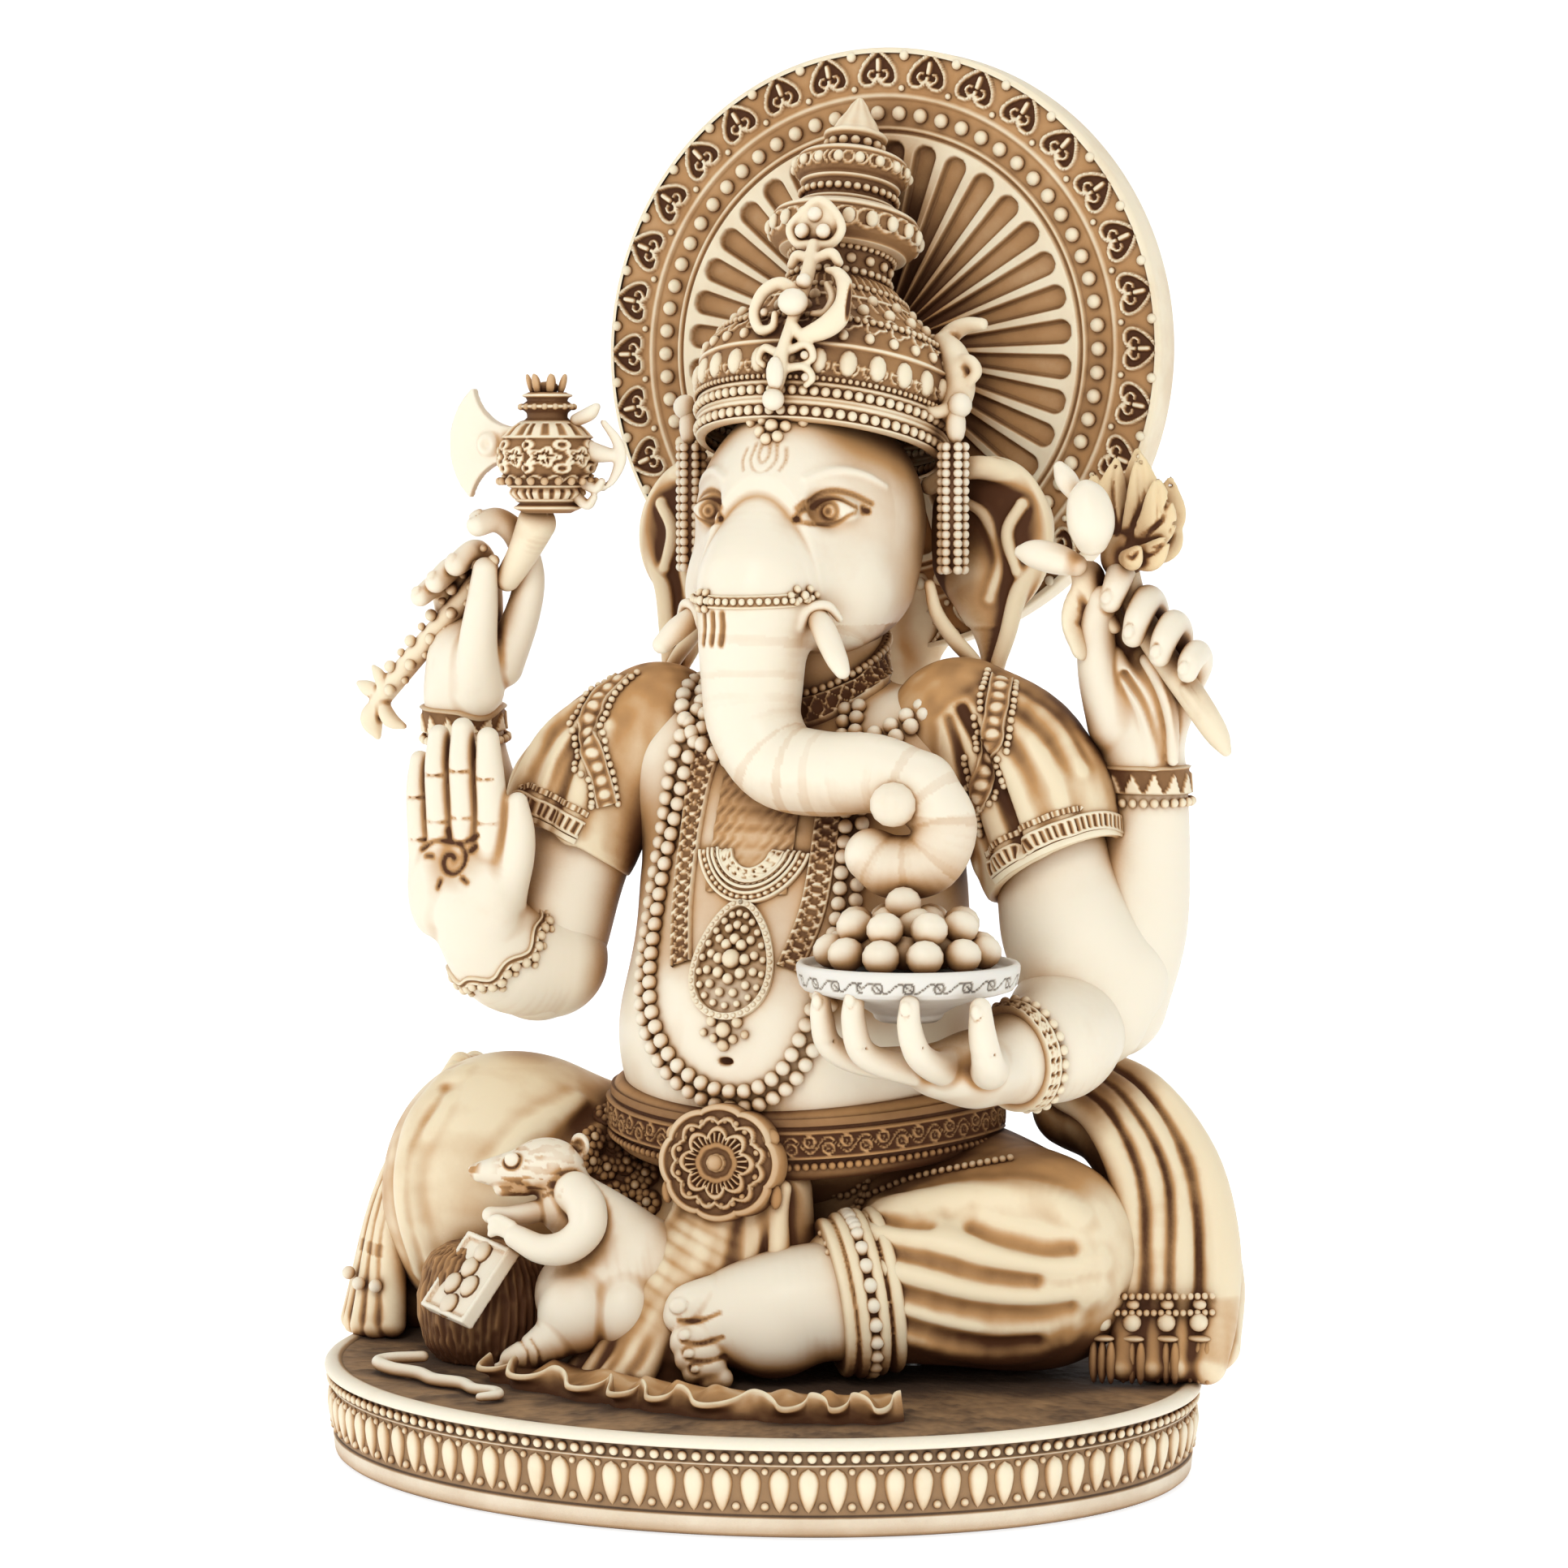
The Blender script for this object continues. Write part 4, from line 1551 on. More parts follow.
def make_left_back_arm():
    """Upper arm, raised forearm and the hand that grips the lotus stem, its finger tips toward the front."""
    upper = [(53, 24, 138, 12.4), (58, 25, 120, 12.6), (62.5, 26, 104, 13.2), (64.5, 26, 96, 13.2)]
    clay = Clay(*box_of(upper, margin=4), 0.6)
    clay.limb(upper, 2)
    clay.limb([(60, 25, 112, 12.5), (68, 31, 104, 12.6)], 6, smooth=0)
    clay_piece("upper_arm_left", clay, skin_resin, ["upper_arm_left"], stain=0.05)

    arm = [(67, 31, 97, 12.4), (71, 34.5, 112, 11.4), (72.5, 36, 128, 10), (73, 36, 142, 8.9), (72.8, 34.5, 150, 8.8)]
    thumb = [(67.6, 30, 155, 5), (66, 27, 166, 4.4), (66.4, 24.5, 175, 3.8), (68.6, 22, 181.5, 3.0)]
    fingers = [
        [
            (69, 33, 172, 4), (70.2, 31.5, 183, 3.4), (71.6, 26, 187.6, 3.1), (72, 21.4, 184.6, 2.8),
            (71.4, 19.8, 181.2, 2.3)
        ],
        [
            (73.4, 35, 168, 4.2), (76, 32.5, 178, 3.4), (77.2, 26, 181.6, 3.1), (77, 21.4, 178.2, 2.9),
            (76.4, 19.8, 174.2, 2.4)
        ],
        [
            (77.4, 35, 164.5, 4.2), (81.6, 32, 173, 3.3), (83, 26, 176.6, 3.0), (82.8, 21.4, 173.8, 2.8),
            (82.2, 20, 170.2, 2.3)
        ],
        [
            (80.6, 34, 160.5, 3.8), (86.4, 31, 167.4, 3.0), (88, 26.4, 170.6, 2.8), (88.2, 22, 169, 2.6),
            (88, 20.8, 166.8, 2.1)
        ],
    ]
    clay = Clay(*box_of(arm, thumb, *fingers, margin=3), 0.5)
    clay.limb(arm, 3)
    clay.egg((74.4, 33.2, 160.5), (10.6, 6.8, 12.5), 4, axes=turn((0, 1, 0), 16))
    clay.limb(thumb, 2)
    for rows in fingers:
        clay.limb(rows, 0.7)
    for rows in ([(69.8, 27.6, 170, 1.5), (73.4, 27, 164, 1.7), (76.6, 27.4, 157, 1.6), (77.4, 28.2, 148, 1.3)],
                 [(76.5, 27, 169, 1.4), (80.4, 26.8, 163, 1.6), (82, 28, 156, 1.5), (81.6, 29.6, 148, 1.2)]):
        clay.limb(rows, 1.0)
    clay.limb(
        [(72, 26, 166, 1.0), (76.4, 25.6, 160, 1.2), (79.4, 26.6, 152, 1.1), (79.6, 27.6, 146, 0.9)], 0.6, cut=True
    )
    clay.limb([(81, 25.5, 166.5, 0.9), (83.4, 26.6, 160, 1.1), (84, 28.4, 152, 1.0)], 0.6, cut=True)
    for rows in fingers:
        x, y, z, r = rows[-1]
        nail(clay, (x - 0.2, y - r * 0.78, z + 0.9), (-0.15, -0.95, 0.25), (-0.35, -0.2, -0.9), 1.35, 1.6)
    clay_piece("forearm_left_back", clay, skin_resin, ["forearm_left_back"], stain=0.05, gain=1.25)
    kit = Kit()
    bracelet(kit, clay, (73, 35.8, 142.6), (0, 0, 1), 9.8, 6.6)
    kit_piece("bracelet_left_back", kit, relief_resin, ["bracelet_left_back"])


def make_left_front_arm():
    """The lower arm that reaches forward and the hand whose raised fingers carry the plate."""
    arm = [(62, 20, 93, 13), (63, 12, 90, 12.4), (60, 4, 88.4, 10.6), (57.5, -3, 87.4, 8.8), (54, -9, 86.4, 8)]
    fingers = [
        [
            (46, -14, 87.5, 4), (36, -24, 88.5, 3.1), (30.6, -30, 92, 2.7), (29.8, -32.6, 98, 2.4),
            (29.8, -33, 102.2, 1.9)
        ],
        [
            (49, -16, 86.5, 4), (44, -26, 88, 3.1), (39.2, -33, 91.4, 2.8), (38.0, -35.2, 98, 2.5),
            (38.2, -35.4, 103.2, 2.0)
        ],
        [
            (52, -16, 87, 4), (52.4, -27, 88.6, 3.2), (51.6, -34, 92, 2.8), (50.6, -36, 97.4, 2.5),
            (50.6, -36, 102, 2.0)
        ],
        [
            (58, -13, 88, 4.2), (62, -22, 87.8, 3.8), (63.8, -27.4, 90.6, 3.2), (63.4, -29, 96, 2.8),
            (63, -29, 101.2, 2.2)
        ],
    ]
    clay = Clay(*box_of(arm, *fingers, margin=3), 0.5)
    clay.limb(arm, 3)
    clay.egg((52, -13.6, 86.2), (11.5, 10, 6.2), 4, axes=turn((0, 0, 1), 20))
    for rows in fingers:
        clay.limb(rows, 1.0)
    for rows in fingers:
        x, y, z, r = rows[-1]
        nail(clay, (x, y - r - 0.0, z - 0.6), (0.1, -1, 0.05), (0, 0, 1), 1.25, 1.6)
        x, y, z, r = rows[2]
        clay.groove(
            np.array(
                [(x - r * 0.8, y - r * 0.6, z + 1.5), (x, y - r * 0.98, z + 1.2), (x + r * 0.8, y - r * 0.6, z + 1.5)]
            ),
            0.3
        )
    clay_piece("forearm_left_front", clay, skin_resin, ["forearm_left_front"], stain=0.05, gain=1.25)
    kit = Kit()
    along = unit((-0.35, -0.93, -0.1))
    across = unit(np.cross(along, (0, 0, 1)))
    third = np.cross(along, across)
    spin = np.linspace(0, 2 * math.pi, 28)
    ring = np.array([58.8, 0.2, 87.6]) + 10 * (np.cos(spin)[:, None] * across + np.sin(spin)[:, None] * third)
    kit.band(clay, ring, 3.6, vine(5.2), lift=1.0, out=0.6, dark=0.9)
    kit.beads(clay.project(even(clay.project(ring - along * 2.6), 2.6), 0.9), 1.15, 0.04)
    kit_piece("bracelet_left_front", kit, relief_resin, ["bracelet_left_front"])


def make_plate():
    """The shallow dish with its engraved rim, and the pile of round sweets."""
    kit = Kit()
    low, high = corners("sweet_plate")
    reach = (high[0] - low[0]) / 2
    top = high[2] - 1.0
    centre = np.array([PLATE[0], PLATE[1], 0.0])
    profile = np.array([(0.4, top - 11.2), (5.5, top - 11.2), (6.4, top - 10.6), (6.8, top - 9.6), (9.5, top - 8.0),
        (14, top - 6.4), (19, top - 5.2), (21, top - 4.6),
                        (21.8, top - 3.6), (22.2, top - 2.2), (22.5, top - 0.6), (22.5, top + 0.4), (22.0, top + 0.9),
                        (21.2, top + 0.9), (20.6, top + 0.2), (20, top - 0.6),
                        (10, top - 0.8), (0.4, top - 0.8)])
    scale = reach / 22.6
    run = np.concatenate([[0], np.cumsum(np.hypot(*np.diff(profile, axis=0).T))])
    steps = np.linspace(0, run[-1], 130)
    radii, heights = np.interp(steps, run, profile[:, 0]) * scale, np.interp(steps, run, profile[:, 1])

    def relief(a, t):
        u = (a / 3.4) % 1 - 0.5
        wall = (t > top - 4.2) & (t < top - 0.4) & (radii[None] > 20.8)
        curl = ridge(np.hypot(u * 3.4 * 1.9, t - (top - 2.3)) - 1.05, 0.22)
        stem = ridge(t - (top - 2.3) - 0.9 * np.sin(2 * math.pi * a / 3.4), 0.2)
        return 1 - 0.8 * np.maximum(curl, stem) * wall

    kit.turned(centre, (0, 0, 1), (0, -1, 0), radii, heights, relief, lift=0.5, sides=420, dark=1.0)
    kit_piece("sweet_plate", kit, plate_resin, ["sweet_plate"])
    kit = Kit()
    rng = np.random.default_rng(5)
    for ring_radius, count, lift, phase in (
        (15.6, 11, 3.2, 0.1), (8.0, 6, 3.4, 0.3), (11.6, 8, 8.4, 0.0), (4.2, 4, 8.8, 0.5), (2.6, 1, 13.0, 0.0)
    ):
        for k in range(count):
            a = 2 * math.pi * (k + phase) / count - math.pi / 2
            r = ring_radius
            place = (centre[0] + r * math.cos(a), centre[1] + r * math.sin(a), top + lift)
            size = 3.75 + 0.2 * rng.random()
            low_wash = 0.03 if lift > 3 else 0.08
            kit.beads([place], size, low_wash, np.diag([1.0, 1.0, 0.92]))
    kit_piece("plate_sweets", kit, skin_resin, ["plate_sweets"])


def make_sleeves():
    """Short sleeves of the vest with radiating folds and a barred hem; dark shoulder yokes."""
    for name, node, shoulder, hem, hem_way, reach, folds, border in (
        ("sleeve_left", "sleeve_left", [
            (36, 24, 153, 16), (47, 25, 147, 16.5), (54, 25, 138, 15.5)
        ], (57.5, 22.5, 124.5), (0.5, -0.14, -0.85), 16.2,
         [[
             (44, 8, 160), (52, 6, 150), (57, 6, 140), (60, 7, 131)
         ], [(42, 6, 158), (47, 5, 148), (50, 6, 138), (53, 7, 129)],
          [(40, 5, 156), (42, 5, 146), (43.5, 6, 136), (47, 7, 126)],
          [(47, 10, 162), (57, 9, 153), (63, 9, 145), (66, 10, 135)],
          [(50, 12, 163), (61, 12, 156), (67, 14, 147)]], [
              (48.5, 16, 165), (50.6, 8, 158), (50, 6, 150), (47.5, 5, 139), (45.4, 5, 131)
          ]),
        ("sleeve_right", "sleeve_right", [
            (-33, 19, 151, 16), (-42, 15, 145, 16), (-48, 11, 137, 15)
        ], (-49, 8, 127.5), (-0.38, -0.3, -0.85), 15.6,
         [[
             (-36, -4, 158), (-43, -6, 150), (-47, -7, 141), (-50, -7, 134)
         ], [(-34, -4, 154), (-38, -6, 145), (-40, -7, 137), (-42, -7, 130)],
          [(-38, -2, 161), (-48, -4, 153), (-54, -5, 143), (-58, -5, 135)]], [
              (-38, 12, 164), (-41, 4, 158), (-40.6, 1, 151), (-38, 0, 144), (-36, 0, 137)
          ]),
    ):
        clay = Clay(*box_of(shoulder, [(*hem, reach)], margin=3), 0.6)
        clay.limb(shoulder, 3)
        end = np.array(hem)
        inner = np.array(shoulder[-1][:3])
        clay.limb([(*inner, 15.2), (*(end + 0.2 * (inner - end)), reach - 0.6)], 4, smooth=0)
        way = unit(hem_way)
        clay.slab(way, float(way @ end), 0.5)
        clay.limb([(*(inner + 3 * way), 12.0), (*(end + 8 * way), 13.0)], 1.2, cut=True, smooth=0)
        for spots in folds:
            clay.fold(spots, 1.7, sink=0.45, blend=2.8)
        for first, second in zip(folds, folds[1:]):
            if len(first) == len(second):
                clay.fold((np.array(first) + np.array(second)) / 2, 0.9, sink=-0.1, blend=1.8, cut=True)

        def extra(points):
            high = smooth_step(148, 162, points[:, 2])
            streak = noise(points * np.array([1, 1, 0.3]), 2.5, 8)
            return 0.1 + 0.3 * streak + 0.26 * high + 0.2 * smooth_step(8, 30, points[:, 1])

        clay_piece(name, clay, cloth_resin, [node], stain=0.08, gain=1.25, extra=extra)
        kit = Kit()
        across = unit(np.cross(way, (0, 1, 0.2)))
        third = np.cross(way, across)
        outer_side = math.copysign(1, end[0])
        spin = math.atan2(third[0] * outer_side, across[0] * outer_side) + np.linspace(-2.15, 2.15, 28)
        around = end + reach * (np.cos(spin)[:, None] * across + np.sin(spin)[:, None] * third)
        kit.band(clay, clay.project(around - way * 3.4), 4.4, bars(1.55), lift=0.7, out=0.1, dark=0.95)
        kit.band(
            clay, clay.project(around - way * 7.0), 1.4, lambda s, y, half: ridge((s / 1.1) % 1 - 0.5, 0.33),
            lift=0.6, dark=0.9
        )
        kit.band(clay, clay.project(around - way * 0.7), 1.3, plain(1.0), lift=0.6, dark=0.5)
        line = clay.seen(curve(border))
        kit.band(clay, line, 5.4, studs(3.0), lift=0.8, out=0.3, dark=0.7)
        for shift in (-3.6, 3.6):
            kit.beads(clay.project(even(clay.project(line + np.array([shift, 0, 0])), 1.7), 0.5), 0.75, 0.05)
        kit_piece(name + "_hem", kit, relief_resin)


# ---- cloth -------------------------------------------------------------------------------------------------


def make_legs():
    """Lap in draped cloth: the raised right knee, the folded left leg with its folds, and the seat."""
    clay = Clay((-99, -33, BASE_TOP - 1.2), (90, 76, 86), 0.62)
    clay.egg((-65, 8, 50), (27.5, 26, 31.0), 0, axes=turn((0, 1, 0), -8))
    clay.limb([(-40, 30, 46, 24), (-60, 14, 52, 26)], 8, smooth=0)
    clay.egg((0, 34, 42), (66, 34, 30), 12)
    clay.limb([(22, 30, 46, 23), (48, 18, 44, 23.5), (58, 13, 44, 21.5)], 10, smooth=4)
    clay.limb([(58, 13, 43, 20.5), (46, 3, 42, 19.5), (34, -5, 40, 16.5), (28, -8, 38.5, 15)], 6, smooth=4)
    ridges = [
        [(28, -2, 50), (40, -2, 49.5), (54, -2, 46.5), (70, -2, 45.5), (78, -2, 47)],
        [(30, -2, 42), (42, -2, 39.6), (56, -2, 37.4), (70, -2, 38.5), (78, -2, 41)],
        [(31, -2, 34), (44, -2, 31.5), (58, -2, 30.5), (72, -2, 33.5)],
        [(28, -2, 56), (38, -2, 57.5), (52, -2, 59.5), (66, -2, 60), (73, -2, 57)],
        [(33, -2, 29), (46, -2, 26.5), (60, -2, 26.5), (70, -2, 30)],
    ]
    for spots in ridges:
        clay.fold(spots, 3.6, sink=0.55, blend=3.2)
    creases = [
        ([(50, -2, 52.5), (58, -2, 50.4), (66, -2, 49.2), (72, -2, 49.4)], 1.7),
        ([(29, -2, 53.2), (34, -2, 52.6), (40, -2, 52.4)], 1.2),
        ([(30, -2, 38.5), (38, -2, 36.6), (50, -2, 34.8), (62, -2, 35), (72, -2, 37)], 1.7),
        ([(32, -2, 31.5), (42, -2, 29.2), (54, -2, 28.2), (64, -2, 29.5)], 1.5),
        ([(29, -2, 46.5), (40, -2, 44.8), (52, -2, 42.6), (64, -2, 42)], 0.9),
    ]
    for spots, radius in creases:
        clay.fold(spots, 0.8 * radius, sink=0.0, blend=3.2, cut=True)
    knee_folds = [
        [(-79, -6, 34), (-84, -4, 50), (-82, -4, 66), (-74, -4, 77)],
        [(-72, -10, 30), (-80, -8, 44), (-80, -8, 58), (-73, -6, 72)],
        [(-56, -14, 60), (-48, -12, 68), (-40, -6, 74)],
        [(-42, -12, 52), (-38, -10, 62), (-33, -6, 70)],
    ]
    for spots in knee_folds:
        clay.fold(spots, 2.0, sink=0.55, blend=3.5)
    for spots in (
        [(-76, -8, 32), (-82, -6, 48), (-81, -6, 62), (-73, -5, 75)], [(-50, -12, 56), (-42, -10, 65), (-36, -6, 72)]
    ):
        clay.fold(spots, 1.0, sink=-0.2, blend=3.4, cut=True)
    clay.fold([(-71, -12, 34), (-79.5, -9, 50), (-79, -8, 64), (-69, -5, 79)], 2.4, sink=0.7, blend=3.2)
    clay.slab((0, 0, -1), -BASE_TOP + 0.4)

    def extra(points):
        low = 0.75 * smooth_step(40, 24, points[:, 2])
        inner = 0.5 * np.exp(-(((points[:, 0] + 34) / 16) ** 2)) * smooth_step(84, 64, points[:, 2])
        inner = inner + 0.22 * smooth_step(-78, -88, points[:, 0])
        top_shade = 0.45 * smooth_step(56, 64, points[:, 2]) * smooth_step(10, 24, points[:, 0]) * smooth_step(-12, 2,
            points[:, 1])
        streak = noise(points * np.array([0.25, 1, 1]), 3.0, 11) - 0.5
        back = 0.2 * smooth_step(30, 60, points[:, 1])
        return low * (0.5 + 0.5 * smooth_step(-8, 18, points[:, 0])) + inner + top_shade + 0.2 * streak + back

    clay_piece("dhoti_legs", clay, cloth_resin, ["dhoti_legs"], stain=0.1, gain=1.0, extra=extra)
    return clay


def make_foot_and_cuff():
    """The bare left foot with stacked toes, the pearled cuff of the trouser leg behind it."""
    clay = Clay((-8, -41, BASE_TOP - 1), (40, 8, 56), 0.5)
    clay.limb([(24, -14, 37, 12.5), (15, -19, 36, 11.8), (6, -23, 33.8, 10.2), (1.5, -25.5, 31.5, 8)], 3)
    clay.egg((13, -20, 31), (11, 11, 10), 3)
    toes = [
        [(2, -27, 37.5, 5.0), (-1.5, -30, 36.4, 4.6), (-2.6, -31, 34.6, 4.0)],
        [(3, -30, 31.5, 3.6), (-0.4, -33, 30.4, 3.2), (-1.2, -33.6, 29.2, 2.7)],
        [(3.6, -31, 27.8, 3.2), (0.4, -33.6, 26.9, 2.8), (-0.2, -34, 26, 2.4)],
        [(4.6, -31.4, 24.6, 2.9), (1.6, -33.4, 23.8, 2.5), (1.2, -33.6, 23.2, 2.2)],
        [(6.4, -31, 22.2, 2.4), (4, -32.4, 21.8, 2.0)],
    ]
    for rows in toes:
        clay.limb(rows, 0.6)
    for (x, y, z), width in (
        ((-1.6, -35.0, 37.4), 2.1), ((0.4, -36.0, 31.6), 1.5), ((1.4, -36.0, 27.8), 1.3), ((2.6, -35.6, 24.6), 1.1)
    ):
        spot = clay.seen(np.array([(x, y, z)]))[0]
        nail(clay, spot, (0.1, -0.95, 0.25), (-0.9, -0.15, -0.3), width * 0.85, width)
    clay.slab((0, 0, -1), -BASE_TOP + 0.4)
    lines = []
    for x0, z0, x1, z1 in ((-4, 33.2, 5.5, 35.6), (-3, 28.8, 6, 30.6), (-2, 25.3, 6.5, 26.6)):
        lines.append(
            clay.seen(even(curve([(x0, -30, z0), ((x0 + x1) / 2, -30, (z0 + z1) / 2 - 0.8), (x1, -30, z1)]), 0.5))
        )
    for line in lines:
        clay.groove(line, 0.34)
    clay_piece("left_foot", clay, skin_resin, ["left_foot"], stain=0.02, gain=1.0,
               extra=lambda points: near_lines(points, lines, 0.6, 0.45) + 0.6 * smooth_step(26, 21, points[:, 2]))
    clay = Clay((16, -36, BASE_TOP - 1), (46, 12, 60), 0.55)
    axis_from, axis_to = np.array([22.5, -13.5, 37.2]), np.array([33, -6, 39])
    run = unit(axis_to - axis_from)
    across = unit(np.cross(run, (0, 0, 1)))
    third = np.cross(run, across)
    spin = np.linspace(0, 2 * math.pi, 48)

    def hoop(step, reach):
        return axis_from + run * step + reach * (np.cos(spin)[:, None] * across + np.sin(spin)[:, None] * third)

    clay.limb([(*(axis_from + run * s), 15.6) for s in (2, 6, 9)], 0, smooth=0)
    for step, reach, radius in ((1.2, 15.2, 1.5), (4.2, 16.2, 1.2), (8.2, 16.4, 1.2), (11.5, 16.0, 1.5)):
        ring = hoop(step, reach)
        clay.limb(np.column_stack([ring, np.full(len(ring), radius)]), 0.8, smooth=0)
    clay.slab(-run, float(-run @ (axis_from + 0.2 * run)), 0.6)
    clay.slab(run, float(run @ (axis_from + 13 * run)), 0.6)
    clay.slab((0, 0, -1), -BASE_TOP + 0.4)
    clay_piece("anklet", clay, cloth_resin, ["anklet"], stain=0.22, gain=1.8,
               extra=lambda points: 0.5 * smooth_step(32, 22, points[:, 2]))
    kit = Kit()
    ring = hoop(6.2, 17.6)
    ring = ring[(ring[:, 1] < -2) & (ring[:, 2] > 22)]
    order = np.argsort(ring[:, 2])
    kit.beads(clay.project(even(ring[order], 4.4), 0.7), 1.65, 0.02)
    kit_piece("anklet_pearls", kit, skin_resin)


def make_pleats():
    """The fall of pleats between the legs, down to the ruffled hem on the floor."""
    clay = Clay((-36, -46, BASE_TOP - 1), (26, 6, 68), 0.5)
    clay.limb([(1, -9, 60, 9), (-4, -14, 46, 11), (-12, -19, 30, 14), (-15, -20, 24, 14)], 4)
    clay.limb([(9, -9, 58, 7), (11, -11, 46, 7), (13, -13, 36, 8)], 4)
    pleats = (
        (-8.5, -27, -31, 21), (-6, -22.5, -34, 21), (-3.4, -18, -36, 21), (-0.8, -13.5, -37, 21),
        (1.8, -9.6, -36, 22), (4.6, -5.2, -30, 26), (7.6, 1, -23, 33), (10.6, 7.5, -21, 40), (13.8, 13, -19, 43)
    )
    for k, (x0, x1, y1, foot) in enumerate(pleats):
        rows = []
        for t in np.linspace(0, 1, 9):
            x = x0 + (x1 - x0) * t**1.3 + 0.7 * math.sin(5 * t + 2 * k)
            y = -17.5 + (y1 + 17.5) * t**1.5 + 0.8 * math.sin(3 * t + k)
            rows.append((x, y, 60 + (foot - 60) * t, 1.7 + 0.7 * t + 0.3 * math.sin(2.4 * k)))
        clay.limb(rows, 1.9, smooth=10)
    clay.slab((0, 0, -1), -BASE_TOP + 0.4)

    def extra(points):
        streak = noise(points * np.array([1, 1, 0.2]), 2.2, 15)
        return 0.1 + 0.3 * streak + 0.3 * smooth_step(34, 22, points[:, 2])

    clay_piece("front_pleats", clay, cloth_resin, ["front_pleats"], stain=0.1, gain=2.2, extra=extra)


def make_floor_hem():
    """The ruffled edge of the cloth that lies on the base, a thin wavy lip with a hollow ground."""
    kit = Kit()
    t = np.linspace(0, 1, 420)
    outline = curve(
        [(-42, -42), (-34, -47), (-22, -51), (-8, -55), (8, -57.5), (22, -57.5), (36, -54.5), (48, -49.5), (54, -45)],
        60
    )
    outline = even(np.column_stack([outline, np.zeros(len(outline))]), 0.3)[:, :2]
    n = len(outline)
    t = np.linspace(0, 1, n)
    along = np.gradient(outline, axis=0)
    along /= np.linalg.norm(along, axis=1, keepdims=True)
    out = np.column_stack([along[:, 1], -along[:, 0]])
    phase = 2 * math.pi * (t * 8.6 + 0.25 * np.sin(2 * math.pi * t * 2.3))
    swing = 3.3 * np.sin(phase) * (0.75 + 0.25 * np.sin(2 * math.pi * t * 3.1 + 1))
    roll = 0.5 * np.sin(2 * phase + 0.6)
    crest = outline + out * swing[:, None] + along * roll[:, None]
    height = BASE_TOP + 4.2 + 1.3 * np.cos(phase + 0.6)
    foot = outline + out * (0.35 * swing - 1.2)[:, None] + along * 0.3 * roll[:, None]
    back = outline + out * (0.3 * swing - 6.5)[:, None]
    deep = outline + out * -15.0
    rows = []
    washes = []

    def level(xy, z, wash):
        rows.append(np.column_stack([xy, np.broadcast_to(z, (n,))]))
        washes.append(wash)

    level(foot + out * 0.9, BASE_TOP - 0.6, 0.8)
    level(foot + out * 0.9, BASE_TOP + 0.9, 0.55)
    level(crest + out * 0.75, height - 0.9, 0.2)
    level(crest + out * 0.45, height - 0.1, 0.0)
    level(crest, height + 0.22, 0.0)
    level(crest - out * 0.45, height - 0.1, 0.0)
    level(crest - out * 0.75, height - 0.9, 0.3)
    level(foot - out * 0.4, BASE_TOP + 1.2, 0.7)
    level(back, BASE_TOP + 2.0 + 0.9 * np.sin(phase), 0.45)
    level(0.5 * (back + deep), BASE_TOP + 3.2 + 1.1 * np.sin(phase + 0.8), 0.3)
    level(deep, BASE_TOP + 2.6, 0.55)
    level(deep - out * 2, BASE_TOP - 0.6, 0.8)
    smooth_rows = np.stack(rows, axis=1)
    fine = np.linspace(0, len(rows) - 1, 40)
    where = np.stack(
        [
            np.stack(
                [np.interp(fine, np.arange(len(rows)), smooth_rows[i, :, c]) for c in range(3)], axis=1
            ) for i in range(n)
        ]
    )
    wash = np.interp(fine, np.arange(len(rows)), washes)
    grain = noise(where, 2.0, 21)
    kit.grid(where, np.clip(wash[None] + 0.25 * (grain - 0.5), 0, 1))
    kit_piece("floor_hem", kit, cloth_resin, ["floor_hem"])


